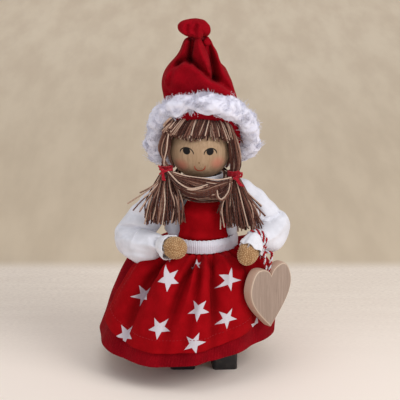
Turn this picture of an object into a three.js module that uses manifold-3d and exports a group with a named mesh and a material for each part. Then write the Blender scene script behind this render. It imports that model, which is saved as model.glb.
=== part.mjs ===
// A standing girl tomte doll, about 20 cm tall: a turned wooden body on two wooden shoes, a wooden ball head
// with yarn hair, a tall felt hat with a fur band, a felt skirt under a printed apron, wire arms in stuffed
// sleeves, and a wooden heart on a twine round the doll's left wrist.
// Millimetres, +Z up. The doll faces -Y and stands on Z = 0. Sides are the doll's own, so its right is -X.
import * as THREE from "three";
import { mergeVertices } from "three/addons/utils/BufferGeometryUtils.js";
import Module from "manifold-3d";

// Driving dimensions that several pieces share
const CLEARANCE = 0.3; // left between pieces that touch
const OVERRUN = 3; // how far a cutter runs past what it cuts
const MERGE_DISTANCE = 1e-3; // vertices closer than this are one
const ROUND_SIDES = 16; // sides of a small round piece
const BALL_SIDES = 20; // sides of the head and of what lies on it
const LIMB_SIDES = 10;
const ELBOW_SIDES = 12;
const WIRE_SIDES = 6;
const WINDING_STEPS = 12; // in each turn of a winding

// Shoes and legs
const SHOE_WIDTH = 14.4;
const SHOE_LENGTH = 27;
const SHOE_HEIGHT = 14;
const SHOE_TOE_REACH = 16; // how far the toe stands in front of the leg's axis
const SHOE_CORNER = 2.2;
const SHOE_SPREAD = 11.8; // from the doll's axis to each leg
const SHOE_SPLAY = { right: 0, left: THREE.MathUtils.degToRad(4) };
const LEG_RADIUS = 3.5;
const LEG_SOCKET_DEPTH = 8; // into the shoe, and again into the body

// Turned body and neck
const BODY_BOTTOM = 36;
const BODY_TOP = 106.5;
const BODY_RADIUS = 15;
const SLOPE_DROP = 12.5; // the shoulders slope in from this far below the body's top
const NECK_STUB_HEIGHT = 2.5; // to this far below it
const BODY_SLOPE_START = BODY_TOP - SLOPE_DROP;
const BODY_SLOPE_END = BODY_TOP - NECK_STUB_HEIGHT;
const NECK_STUB_RADIUS = 8.3;
const NECK_DOWEL_RADIUS = 3.5;
const NECK_DOWEL_DEPTH = 14.5; // into the body
const NECK_DOWEL_BOTTOM = BODY_TOP - NECK_DOWEL_DEPTH;
const NECK_SOCKET_DEPTH = 9; // into the head
const ARM_HOLE_DROP = 4; // below the body's top
const ARM_HOLE_HEIGHT = BODY_TOP - ARM_HOLE_DROP;

// Head and hair
const HEAD_RADIUS = 17.5;
const NECK_LENGTH = 6; // between the body and the head
const HEAD_HEIGHT = BODY_TOP + NECK_LENGTH + HEAD_RADIUS;
const HEAD_LEAN = -1.6; // the head stands this far to the doll's right
const HAIR_THICKNESS = 2.2;
const FRINGE_HALF_WIDTH = 15.5;
const FRINGE_DEPTH = 4; // the fringe starts this far in front of the head's middle
const FRINGE_DROP = 9.4; // the fringe ends this far above the head's middle
const HAIR_CAP_DROP = 12; // the hair cap ends this far below the head's middle

// Bunches: yarn from the temple to the tie, and the loose tail below it
const BUNCH_RADIUS = 4.1;
const TIE_YARN_RADIUS = 0.75;
const TIE_TURNS = 2;
const TIE_REACH = 18.9; // from the head's middle outwards to each tie
const TIE_FORWARD = 10.5; // in front of the head's middle
const RIGHT_TIE_DROP = 11; // below the head's middle
const LEFT_TIE_DROP = 14;
const TAIL_LENGTH = 23.5;
const RIGHT_TAIL_HALF_WIDTH = 10.4; // at the cut end
const LEFT_TAIL_HALF_WIDTH = 11.6;
const RIGHT_TAIL_DRIFT = 1.5; // outwards, from the tie to the cut end
const LEFT_TAIL_DRIFT = 3.5;
const BUNCH = {
  right: { side: -1, tieDrop: RIGHT_TIE_DROP, halfWidth: RIGHT_TAIL_HALF_WIDTH, drift: RIGHT_TAIL_DRIFT },
  left: { side: 1, tieDrop: LEFT_TIE_DROP, halfWidth: LEFT_TAIL_HALF_WIDTH, drift: LEFT_TAIL_DRIFT },
};
const BUNCH_TOP = 13; // above the head's middle
const BUNCH_START_SHARE = 0.8; // of its radius, at the temple
const BUNCH_SET_BACK_SHARE = 0.35; // of its radius, behind the tie at the temple
const BUNCH_BULGE = 1.2; // how far the bunch bows out between the temple and the tie
const TAIL_FORWARD = 9; // how far the tail's end lies in front of the tie
const TAIL_THICKNESS = 4;
const TAIL_STEM_RADIUS = 2.6; // where the tie pulls the yarn in

// Yarn wrapped round the neck
const WRAP_RADIUS = 14;
const WRAP_RISE = 4.1; // above the body's top
const WRAP_HEIGHT = BODY_TOP + WRAP_RISE;
const WRAP_HALF_WIDTH = 5;
const WRAP_HALF_HEIGHT = 5.8;
const WRAP_TILT = THREE.MathUtils.degToRad(11); // lower at the front

// Hat
const HAT_FELT = 1.3;
const HAT_EASE = 1.2; // between the hair and the inside of the hat
const HAT_HEIGHT = 73.6; // from the head's middle to the top of the tuft
const HAT_NECK_RADIUS = 4.6; // where the thread gathers it
const HAT_THREAD_RADIUS = 0.5;
const HAT_THREAD_TURNS = 2;
const HAT_SIDES = 22;
const FUR_RADIUS = 6.8;
const FUR_STAND_OFF_SHARE = 0.45; // of its radius, outside the hat

// Clothes
const KNIT = 0.9; // blouse and sleeves
const WAIST_DROP = 26; // the skirt's top lies this far below the body's top
const SKIRT_TOP = BODY_TOP - WAIST_DROP;
const BLOUSE_LAP = 10.5; // the blouse ends this far below the skirt's top
const BLOUSE_BOTTOM = SKIRT_TOP - BLOUSE_LAP;
const COLLAR_DROP = 1.1; // the blouse starts this far below the body's top
const BLOUSE_TOP = BODY_TOP - COLLAR_DROP;
const COTTON = 0.7; // bib and apron
const BIB_DROP = 3.5; // below the body's top
const BIB_TOP = BODY_TOP - BIB_DROP;
const BIB_TOP_HALF_WIDTH = 11.2;
const BIB_BOTTOM_HALF_WIDTH = 13.7;
const RIBBON = 0.8;
const RIBBON_WIDTH = 8;
const RIBBON_LAP = 7.5; // the ribbon reaches this far below the skirt's top
const RIBBON_BOTTOM = SKIRT_TOP - RIBBON_LAP;
const SKIRT_FELT = 1.8;
const HEM_HEIGHT = 20;
const HEM_RADIUS = 52;
const HEM_SHIFT = -9; // the hem hangs this far to the doll's right
const HEM_SAG = 3.8; // the front of the hem droops
const HEM_TILT = 1.5; // the hem rises to the doll's left
const GATHER_DEPTH = 1.3; // of the folds below the waist
const GATHER_COUNT = 10;
const HEM_FLAT = 4.2; // the skirt lies flatter at the front left, behind the heart
const SKIRT_SIDES = 50;
const APRON_SIDE_DEGREES = { rightTop: -58, rightBottom: -75, leftTop: 66, leftBottom: 84 };

// Arms
const WIRE_RADIUS = 0.8;
const SHOULDER_REACH = 20.6;
const SHOULDER_RADIUS = 7.8;
const UPPER_SWELL_RADIUS = 8.4; // halfway down the upper sleeve
const UPPER_END_RADIUS = 8.2; // where it meets the elbow
const ELBOW_RADIUS = 8.8;
const SWELL_RADIUS = 9.2; // halfway down the lower sleeve
const CUFF_RADIUS = 4.5; // where the sleeve is gathered at the wrist
const GATHER_LENGTH = 7.5;
const FRILL_RADIUS = 8.2;
const FRILL_LENGTH = 5.2;
const HAND_LENGTH = 15.4;
const HAND_RADIUS = 6.5;
const HAND_GAP = 0.9; // from the gathered cuff to the tip of the hand
const ELBOW_SWING = THREE.MathUtils.degToRad(60); // outwards from the pose in the photograph
const ELBOW_SWING_STEPS = 3;
const WADDING_START = 4; // past a joint
const CUFF_THREAD_RADIUS = 0.45;
const CUFF_THREAD_TURNS = 2;
const ELBOW_FORWARD = 4; // in front of the shoulder
const RIGHT_ELBOW_OUT = 21.9; // from the shoulder outwards
const LEFT_ELBOW_OUT = 22.4;
const RIGHT_ELBOW_DROP = 2.5; // below the skirt's top
const LEFT_ELBOW_RISE = 0.5; // above the skirt's top
const ELBOW_OPENING_SHARE = 0.4; // of the elbow's radius, from its middle up to the hole for the wire
const RIGHT_CUFF_OUT = 1.1; // from the shoulder outwards
const RIGHT_CUFF_FORWARD = 25.7;
const RIGHT_CUFF_DROP = 0.2; // below the skirt's top
const ARM = {
  right: { side: -1, handDirection: new THREE.Vector3(0.69, -0.72, 0.08) },
  left: { side: 1, handDirection: new THREE.Vector3(-0.45, -0.52, -0.73) },
};

// Heart and its twine
const HEART_WIDTH = 33;
const HEART_HEIGHT = 36;
const HEART_THICKNESS = 6;
const HEART_NOTCH_DROP = 5.2; // the notch lies this far below the tops of the lobes
const HEART_EDGE = 0.5;
const HEART_YAW = THREE.MathUtils.degToRad(45);
const HEART_SOCKET_DEPTH = 6;
const TWINE_RADIUS = 0.95;
const TWINE_TURNS = 2;
const TWINE_PITCH = 2.5;
const TWINE_SPREAD = 3; // half the distance between the two strands at the wrist
const TWINE_PINCH = 1.25; // the same in the heart
const TWINE_DROP = 11; // from the wrist to the heart's notch
const HEART_SWING = THREE.MathUtils.degToRad(60); // outwards
// The twine hangs over the skirt, and the left cuff is placed from where it hangs.
const HANGING_BEARING = THREE.MathUtils.degToRad(54.246); // from the front, to the doll's left
const HANGING_INSIDE_HEM = 5.79;
const HANGING_DROP = 6; // below the skirt's top
const LEFT_CUFF_INWARDS = 9;
const LEFT_CUFF_FORWARD = 1;
const LEFT_CUFF_RISE = 8.5;

const MATERIALS = {
  blackPaint: material(0x121212, 0.45),
  birch: material(0xc9a57c, 0.65),
  skinWood: material(0xc7a27d, 0.6),
  brownYarn: material(0x5b3a2c, 0.9),
  redYarn: material(0xb0101c, 0.85),
  hatFelt: material(0xa00a1a, 0.95),
  skirtFelt: material(0x8f0912, 0.95),
  starCotton: material(0xa30710, 0.85),
  whiteKnit: material(0xe6e4ea, 0.9),
  whiteRibbon: material(0xdcd9e2, 0.7),
  whiteFur: material(0xeeeef4, 1),
  wadding: material(0xf4f2ee, 1),
  tanKnit: material(0xc79a5c, 0.95),
  steelWire: material(0x8d8f92, 0.4, 1),
  heartWood: material(0xb59878, 0.7),
  twine: material(0xd8c9cc, 0.9),
};

function material(color, roughness, metalness = 0) {
  return new THREE.MeshStandardMaterial({ color, roughness, metalness });
}

const wasm = await Module();
wasm.setup();

// Joining and cutting

function solidOf(geometry) {
  const loose = geometry.index ? geometry.toNonIndexed() : geometry.clone();
  loose.deleteAttribute("normal");
  loose.deleteAttribute("uv");
  const merged = mergeVertices(loose, MERGE_DISTANCE);
  return new wasm.Manifold(
    new wasm.Mesh({
      numProp: 3,
      vertProperties: merged.attributes.position.array,
      triVerts: new Uint32Array(merged.index.array),
    }),
  );
}

function geometryOf(solid) {
  const mesh = solid.getMesh();
  const geometry = new THREE.BufferGeometry();
  geometry.setAttribute("position", new THREE.BufferAttribute(mesh.vertProperties, mesh.numProp));
  geometry.setIndex(new THREE.BufferAttribute(mesh.triVerts, 1));
  return geometry;
}

function cut(piece, ...tools) {
  const left = tools.reduce((solid, tool) => solid.subtract(solidOf(tool)), solidOf(piece));
  return geometryOf(left);
}

function join(...pieces) {
  const [first, ...rest] = pieces.map(solidOf);
  return geometryOf(rest.reduce((solid, other) => solid.add(other), first));
}

function keepInside(piece, tool) {
  return geometryOf(solidOf(piece).intersect(solidOf(tool)));
}

// Shapes

function ball(centre, radius, sides = ROUND_SIDES) {
  const geometry = new THREE.SphereGeometry(radius, sides, Math.round(sides * 0.7));
  return geometry.rotateX(Math.PI / 2).translate(centre.x, centre.y, centre.z);
}

function rod(from, to, radius, sides = ROUND_SIDES) {
  const along = to.clone().sub(from);
  const geometry = new THREE.CylinderGeometry(radius, radius, along.length(), sides);
  const upright = new THREE.Vector3(0, 1, 0);
  const turn = new THREE.Quaternion().setFromUnitVectors(upright, along.clone().normalize());
  const middle = from.clone().lerp(to, 0.5);
  return geometry.applyQuaternion(turn).translate(middle.x, middle.y, middle.z);
}

function block(low, high) {
  const size = high.clone().sub(low);
  const middle = low.clone().lerp(high, 0.5);
  return new THREE.BoxGeometry(size.x, size.y, size.z).translate(middle.x, middle.y, middle.z);
}

// A turned piece about the Z axis, from [radius, height] points that run up the outside
function turned(points, sides = BALL_SIDES) {
  const profile = points.map(([radius, height]) => new THREE.Vector2(radius, height));
  return new THREE.LatheGeometry(profile, sides).rotateX(Math.PI / 2);
}

// A skin over rings of points. An open run of rings is capped at both ends, and a closed one joins up.
function skinned(rings, closed = false) {
  const count = rings[0].length;
  const points = rings.flat();
  const faces = [];
  const bands = closed ? rings.length : rings.length - 1;
  for (let band = 0; band < bands; band++) {
    const here = band * count;
    const next = ((band + 1) % rings.length) * count;
    for (let k = 0; k < count; k++) {
      const after = (k + 1) % count;
      faces.push(here + k, here + after, next + after, here + k, next + after, next + k);
    }
  }
  if (!closed) {
    const middleOf = (ring) =>
      ring.reduce((sum, point) => sum.add(point), new THREE.Vector3()).divideScalar(count);
    const start = points.push(middleOf(rings[0])) - 1;
    const end = points.push(middleOf(rings.at(-1))) - 1;
    const last = (rings.length - 1) * count;
    for (let k = 0; k < count; k++) {
      const after = (k + 1) % count;
      faces.push(start, after, k, end, last + k, last + after);
    }
  }
  return facing(points, faces);
}

// A curved slab between an outer and an inner grid of points, rows of columns
function slab(outer, inner) {
  const rows = outer.length;
  const columns = outer[0].length;
  const points = [...outer.flat(), ...inner.flat()];
  const behind = rows * columns;
  const at = (row, column) => row * columns + column;
  const faces = [];
  const quad = (a, b, c, d) => faces.push(a, b, c, a, c, d);
  for (let row = 0; row < rows - 1; row++)
    for (let column = 0; column < columns - 1; column++) {
      const corners = [at(row, column), at(row, column + 1), at(row + 1, column + 1), at(row + 1, column)];
      quad(...corners);
      quad(...corners.reverse().map((corner) => corner + behind));
    }
  for (let row = 0; row < rows - 1; row++) {
    quad(at(row, 0), at(row + 1, 0), at(row + 1, 0) + behind, at(row, 0) + behind);
    const end = columns - 1;
    quad(at(row + 1, end), at(row, end), at(row, end) + behind, at(row + 1, end) + behind);
  }
  for (let column = 0; column < columns - 1; column++) {
    quad(at(0, column + 1), at(0, column), at(0, column) + behind, at(0, column + 1) + behind);
    const end = rows - 1;
    quad(at(end, column), at(end, column + 1), at(end, column + 1) + behind, at(end, column) + behind);
  }
  return facing(points, faces);
}

// Turns the faces round if they point inwards
function facing(points, faces) {
  let volume = 0;
  for (let i = 0; i < faces.length; i += 3) {
    const [a, b, c] = [points[faces[i]], points[faces[i + 1]], points[faces[i + 2]]];
    volume += a.dot(b.clone().cross(c));
  }
  if (volume < 0) faces.reverse();
  const geometry = new THREE.BufferGeometry().setFromPoints(points);
  geometry.setIndex(faces);
  return geometry;
}

// Rings of a limb that follows a curve through points, with its radius at each point
function limb(points, radii, sides = LIMB_SIDES, steps = 6) {
  const curve = new THREE.CatmullRomCurve3(points, false, "centripetal");
  const rings = [];
  for (let step = 0; step <= steps; step++) {
    const share = step / steps;
    const centre = curve.getPoint(share);
    const along = curve.getTangent(share);
    const across = new THREE.Vector3(0, 0, 1).cross(along).normalize();
    const up = along.clone().cross(across);
    const place = share * (radii.length - 1);
    const low = Math.min(Math.floor(place), radii.length - 2);
    const radius = THREE.MathUtils.lerp(radii[low], radii[low + 1], eased(place - low));
    rings.push(around(sides, (angle) =>
      centre.clone()
        .addScaledVector(across, radius * Math.cos(angle))
        .addScaledVector(up, radius * Math.sin(angle))));
  }
  return rings;
}

// A tube of round section along a curve
function tube(curve, radius, steps, sides = 6) {
  const section = new THREE.Shape(around(sides, (angle) =>
    new THREE.Vector2(radius * Math.cos(angle), radius * Math.sin(angle))));
  return new THREE.ExtrudeGeometry(section, { steps, extrudePath: curve, bevelEnabled: false });
}

// Points of a yarn wound round an axis, from one end to the other
function woundPoints(centre, axis, startDirection, radius, turns, pitch, perTurn) {
  const aside = axis.clone().cross(startDirection).normalize();
  const start = aside.clone().cross(axis).normalize();
  const points = [];
  const steps = Math.round(turns * perTurn);
  for (let step = 0; step <= steps; step++) {
    const angle = (step / perTurn) * 2 * Math.PI;
    const rise = (step / perTurn - turns / 2) * pitch;
    points.push(centre.clone()
      .addScaledVector(axis, rise)
      .addScaledVector(start, radius * Math.cos(angle))
      .addScaledVector(aside, radius * Math.sin(angle)));
  }
  return points;
}

// The least distance between the surfaces of turns that lie beside each other
function leastGap(points, perTurn, thickness) {
  let least = Infinity;
  for (let i = 0; i < points.length; i++)
    for (let j = i + Math.round(perTurn / 2); j < points.length; j++)
      least = Math.min(least, points[i].distanceTo(points[j]) - thickness);
  return least;
}

function wound(name, centre, axis, startDirection, radius, turns, yarnRadius, gap) {
  const pitch = 2 * yarnRadius + gap;
  const points = woundPoints(centre, axis, startDirection, radius, turns, pitch, WINDING_STEPS);
  const least = leastGap(points, WINDING_STEPS, 2 * yarnRadius);
  console.log(`${name}: least gap between turns ${least.toFixed(2)} mm`);
  return tube(new THREE.CatmullRomCurve3(points), yarnRadius, points.length - 1);
}
const TURN_GAP = 0.55; // between the turns of a winding

function around(count, pointAt) {
  return Array.from({ length: count }, (_, k) => pointAt((k / count) * 2 * Math.PI));
}

function eased(share) {
  return share * share * (3 - 2 * share);
}

function hump(angle, middle, width) {
  const away = THREE.MathUtils.euclideanModulo(angle - middle + Math.PI, 2 * Math.PI) - Math.PI;
  return Math.exp(-((away / width) ** 2));
}

const point = (x, y, z) => new THREE.Vector3(x, y, z);

// Shoes and legs, one pair

function shoe(side) {
  const half = SHOE_WIDTH / 2;
  const heel = SHOE_LENGTH - SHOE_TOE_REACH;
  const outline = new THREE.Shape();
  outline.moveTo(-half + SHOE_CORNER, -SHOE_TOE_REACH);
  outline.lineTo(half - SHOE_CORNER, -SHOE_TOE_REACH);
  outline.absarc(half - SHOE_CORNER, -SHOE_TOE_REACH + SHOE_CORNER, SHOE_CORNER, -Math.PI / 2, 0);
  outline.lineTo(half, heel - SHOE_CORNER);
  outline.absarc(half - SHOE_CORNER, heel - SHOE_CORNER, SHOE_CORNER, 0, Math.PI / 2);
  outline.lineTo(-half + SHOE_CORNER, heel);
  outline.absarc(-half + SHOE_CORNER, heel - SHOE_CORNER, SHOE_CORNER, Math.PI / 2, Math.PI);
  outline.lineTo(-half, -SHOE_TOE_REACH + SHOE_CORNER);
  outline.absarc(-half + SHOE_CORNER, -SHOE_TOE_REACH + SHOE_CORNER, SHOE_CORNER, Math.PI, 1.5 * Math.PI);
  const upwards = { depth: SHOE_HEIGHT, bevelEnabled: false, curveSegments: 3 };
  const solid = new THREE.ExtrudeGeometry(outline, upwards);
  const socket = rod(
    point(0, 0, SHOE_HEIGHT - LEG_SOCKET_DEPTH),
    point(0, 0, SHOE_HEIGHT + OVERRUN),
    LEG_RADIUS + CLEARANCE,
  );
  const placed = new THREE.Mesh(cut(solid, socket), MATERIALS.blackPaint);
  placed.name = `shoe_${side}`;
  placed.position.x = ARM[side].side * SHOE_SPREAD;
  placed.rotation.z = SHOE_SPLAY[side];
  return placed;
}

const LEG_BOTTOM = SHOE_HEIGHT - LEG_SOCKET_DEPTH + CLEARANCE;
const LEG_TOP = BODY_BOTTOM + LEG_SOCKET_DEPTH - CLEARANCE;

function leg(side) {
  const placed = new THREE.Mesh(
    rod(point(0, 0, 0), point(0, 0, LEG_TOP - LEG_BOTTOM), LEG_RADIUS),
    MATERIALS.birch,
  );
  placed.name = `leg_dowel_${side}`;
  placed.position.set(ARM[side].side * SHOE_SPREAD, 0, LEG_BOTTOM);
  return placed;
}

// Body, neck dowel and the wire through the shoulders

const HEAD_CENTRE = point(HEAD_LEAN, 0, HEAD_HEIGHT);
const NECK_DOWEL_TOP = HEAD_HEIGHT - HEAD_RADIUS + NECK_SOCKET_DEPTH;

function neckLine(height) {
  return point(HEAD_LEAN * (height - NECK_DOWEL_BOTTOM) / (HEAD_HEIGHT - NECK_DOWEL_BOTTOM), 0, height);
}

function bodyRadius(height) {
  const slope = BODY_SLOPE_END - BODY_SLOPE_START;
  const share = THREE.MathUtils.clamp((height - BODY_SLOPE_START) / slope, 0, 1);
  return THREE.MathUtils.lerp(BODY_RADIUS, NECK_STUB_RADIUS, eased(share));
}

// [radius, height] points up the outside of the body, a given distance off it
function bodyProfile(bottom, top, offset, steps = 3) {
  const points = [[BODY_RADIUS + offset, bottom]];
  for (let step = 0; step <= steps; step++) {
    const height = THREE.MathUtils.lerp(BODY_SLOPE_START, Math.min(top, BODY_SLOPE_END), step / steps);
    points.push([bodyRadius(height) + offset, height]);
  }
  if (top > BODY_SLOPE_END) points.push([NECK_STUB_RADIUS + offset, top]);
  return points;
}

const ARM_HOLE_RADIUS = WIRE_RADIUS + CLEARANCE;
const armHole = () =>
  rod(point(-BODY_RADIUS - OVERRUN, 0, ARM_HOLE_HEIGHT), point(BODY_RADIUS + OVERRUN, 0, ARM_HOLE_HEIGHT),
    ARM_HOLE_RADIUS, 12);

function bodyBlock() {
  const profile = [[0, BODY_BOTTOM], ...bodyProfile(BODY_BOTTOM, BODY_TOP, 0), [0, BODY_TOP]];
  const legSockets = ["right", "left"].map((side) => {
    const x = ARM[side].side * SHOE_SPREAD;
    return rod(point(x, 0, BODY_BOTTOM - OVERRUN), point(x, 0, BODY_BOTTOM + LEG_SOCKET_DEPTH),
      LEG_RADIUS + CLEARANCE);
  });
  const neckSocket = rod(
    neckLine(NECK_DOWEL_BOTTOM - CLEARANCE),
    neckLine(BODY_TOP + OVERRUN),
    NECK_DOWEL_RADIUS + CLEARANCE,
  );
  return cut(turned(profile), ...legSockets, neckSocket, armHole());
}

function neckDowel() {
  return cut(rod(neckLine(NECK_DOWEL_BOTTOM), neckLine(NECK_DOWEL_TOP), NECK_DOWEL_RADIUS), armHole());
}

const SHOULDER_WIRE_END = SHOULDER_REACH - WIRE_RADIUS - CLEARANCE;

function shoulderWire() {
  return rod(point(-SHOULDER_WIRE_END, 0, ARM_HOLE_HEIGHT), point(SHOULDER_WIRE_END, 0, ARM_HOLE_HEIGHT),
    WIRE_RADIUS, 10);
}

// Blouse, bib and ribbon

const BLOUSE_OFFSET = CLEARANCE + KNIT;
const SKIRT_WAIST_RADIUS = BODY_RADIUS + BLOUSE_OFFSET + CLEARANCE + SKIRT_FELT;
const APRON_WAIST_RADIUS = SKIRT_WAIST_RADIUS + CLEARANCE + COTTON;
const RIBBON_RADIUS = APRON_WAIST_RADIUS + CLEARANCE + RIBBON;

const shoulderOf = (side) => point(ARM[side].side * SHOULDER_REACH, 0, ARM_HOLE_HEIGHT);
const shoulderRoom = (side) => ball(shoulderOf(side), SHOULDER_RADIUS + CLEARANCE);

function blouse() {
  const outside = bodyProfile(BLOUSE_BOTTOM, BLOUSE_TOP, BLOUSE_OFFSET);
  const inside = bodyProfile(BLOUSE_BOTTOM, BLOUSE_TOP, CLEARANCE).reverse();
  const ring = turned([...outside, ...inside, outside[0]]);
  const wireRoom = rod(
    point(-BODY_RADIUS - OVERRUN, 0, ARM_HOLE_HEIGHT),
    point(BODY_RADIUS + OVERRUN, 0, ARM_HOLE_HEIGHT),
    ARM_HOLE_RADIUS,
    12,
  );
  return cut(ring, wireRoom, shoulderRoom("right"), shoulderRoom("left"));
}

function bib() {
  const rows = 6;
  const columns = 8;
  const bottom = SKIRT_TOP + CLEARANCE;
  const grid = (offset) =>
    Array.from({ length: rows + 1 }, (_, row) => {
      const share = row / rows;
      const height = THREE.MathUtils.lerp(bottom, BIB_TOP, share);
      const radius = bodyRadius(height) + BLOUSE_OFFSET + 2 * CLEARANCE + offset;
      const halfWidth = THREE.MathUtils.lerp(BIB_BOTTOM_HALF_WIDTH, BIB_TOP_HALF_WIDTH, share);
      const halfAngle = Math.asin(Math.min(halfWidth / (BODY_RADIUS + BLOUSE_OFFSET), 1));
      return Array.from({ length: columns + 1 }, (_, column) => {
        const angle = THREE.MathUtils.lerp(-halfAngle, halfAngle, column / columns);
        return point(radius * Math.sin(angle), -radius * Math.cos(angle), height);
      });
    });
  return cut(slab(grid(COTTON), grid(0)), shoulderRoom("right"), shoulderRoom("left"));
}

function ribbon() {
  const inside = RIBBON_RADIUS - RIBBON;
  const top = RIBBON_BOTTOM + RIBBON_WIDTH;
  return turned([
    [RIBBON_RADIUS, RIBBON_BOTTOM],
    [RIBBON_RADIUS, top],
    [inside, top],
    [inside, RIBBON_BOTTOM],
    [RIBBON_RADIUS, RIBBON_BOTTOM],
  ], 36);
}

// Skirt and apron: one profile from the waist down to the hem, as [shares of the flare, shares of the drop]
const SKIRT_PROFILE_SHARES = [
  [0, 0],
  [0, 0.07],
  [0, 0.135],
  [0.12, 0.155],
  [0.4, 0.19],
  [0.585, 0.255],
  [0.745, 0.45],
  [0.875, 0.69],
  [0.95, 0.88],
  [1, 1],
];
const skirtProfile = new THREE.SplineCurve(
  SKIRT_PROFILE_SHARES.map(([flare, drop]) => new THREE.Vector2(flare, drop)),
);
// Where the skirt's rings lie, as shares along the profile's points. The apron ends at the last ring but one.
const SKIRT_RING_SHARES = [0, 2, 3, 3.6, 4.3, 5, 6, 7, 8, 9].map(
  (place) => place / (SKIRT_PROFILE_SHARES.length - 1),
);
const GATHER_SWELL_SHARE = 1.15; // of the flare, where the gathers fade out

// Angle 0 is the front, and angles grow to the doll's left.
function skirtSkin(angle, share) {
  const { x, y: drop } = skirtProfile.getPoint(share);
  const flare = Math.max(x, 0);
  const fade = 3 * flare * (GATHER_SWELL_SHARE - flare);
  const gather = GATHER_DEPTH * Math.sin(GATHER_COUNT * angle + Math.sin(2 * angle)) * fade;
  const flat = HEM_FLAT * hump(angle, THREE.MathUtils.degToRad(40), THREE.MathUtils.degToRad(38)) * flare;
  const radius = THREE.MathUtils.lerp(SKIRT_WAIST_RADIUS, HEM_RADIUS, flare) + gather - flat;
  const hem = HEM_HEIGHT
    - HEM_SAG * hump(angle, THREE.MathUtils.degToRad(-15), THREE.MathUtils.degToRad(45))
    + HEM_TILT * Math.sin(angle);
  return point(
    HEM_SHIFT * drop * flare + radius * Math.sin(angle),
    -radius * Math.cos(angle),
    THREE.MathUtils.lerp(SKIRT_TOP, hem, drop),
  );
}

// The same skin moved outwards along its normal
function skirtPoint(angle, share, offset) {
  const step = 0.01;
  const here = skirtSkin(angle, share);
  const down = skirtSkin(angle, Math.min(share + step, 1)).sub(skirtSkin(angle, Math.max(share - step, 0)));
  const round = skirtSkin(angle + step, share).sub(skirtSkin(angle - step, share));
  const normal = down.cross(round).normalize();
  if (normal.dot(point(Math.sin(angle), -Math.cos(angle), 0)) < 0) normal.negate();
  if (share < SKIRT_RING_SHARES[1]) normal.setZ(0).normalize();
  return here.addScaledVector(normal, offset);
}

function feltSkirt() {
  const wall = (offset) =>
    SKIRT_RING_SHARES.map((share) => around(SKIRT_SIDES, (angle) => skirtPoint(angle, share, offset)));
  return skinned([...wall(0), ...wall(-SKIRT_FELT).reverse()], true);
}

// The apron lies on the same rings as the skirt, and a wedge from the axis trims its sides.
function apron() {
  const shares = SKIRT_RING_SHARES.slice(0, -1);
  const wall = (offset) =>
    shares.map((share) => around(SKIRT_SIDES, (angle) => skirtPoint(angle, share, offset)));
  const round = skinned([...wall(CLEARANCE + COTTON), ...wall(CLEARANCE).reverse()], true);
  const far = 3 * HEM_RADIUS;
  const wedgeRing = (rightDegrees, leftDegrees, height) => {
    const corners = [rightDegrees, (rightDegrees + leftDegrees) / 2, leftDegrees].map((degrees) => {
      const angle = THREE.MathUtils.degToRad(degrees);
      return point(far * Math.sin(angle), -far * Math.cos(angle), height);
    });
    return [point(0, 0, height), ...corners];
  };
  const { rightTop, rightBottom, leftTop, leftBottom } = APRON_SIDE_DEGREES;
  return keepInside(round, skinned([
    wedgeRing(rightTop, leftTop, SKIRT_TOP + OVERRUN),
    wedgeRing(rightBottom, leftBottom, HEM_HEIGHT - HEM_SAG),
  ]));
}

// Head, hair and the yarn round the neck

const HAIR_INSIDE = HEAD_RADIUS + CLEARANCE;
const HAIR_OUTSIDE = HAIR_INSIDE + HAIR_THICKNESS;
const TIE_HEIGHT = (TIE_TURNS + 1) * 2 * TIE_YARN_RADIUS;
const FAR = 3 * HEAD_RADIUS; // past the head on any side
const ORIGIN = point(0, 0, 0);

function headBall() {
  const socket = rod(
    neckLine(HEAD_HEIGHT - HEAD_RADIUS - OVERRUN).sub(HEAD_CENTRE),
    neckLine(NECK_DOWEL_TOP + CLEARANCE).sub(HEAD_CENTRE),
    NECK_DOWEL_RADIUS + CLEARANCE,
  );
  return cut(ball(ORIGIN, HEAD_RADIUS, BALL_SIDES), socket);
}

const hairShell = () => cut(ball(ORIGIN, HAIR_OUTSIDE, BALL_SIDES), ball(ORIGIN, HAIR_INSIDE, BALL_SIDES));

function hairCap() {
  const faceWindow = block(
    point(-FAR, -FAR, -FAR),
    point(FAR, -FRINGE_DEPTH + CLEARANCE, FAR),
  );
  const below = block(point(-FAR, -FAR, -FAR), point(FAR, FAR, -HAIR_CAP_DROP));
  return cut(hairShell(), faceWindow, below);
}

function fringe() {
  const window = block(
    point(-FRINGE_HALF_WIDTH, -FAR, FRINGE_DROP),
    point(FRINGE_HALF_WIDTH, -FRINGE_DEPTH, FAR),
  );
  return keepInside(hairShell(), window);
}

const tieOf = (side) => point(BUNCH[side].side * TIE_REACH, -TIE_FORWARD, -BUNCH[side].tieDrop);

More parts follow.
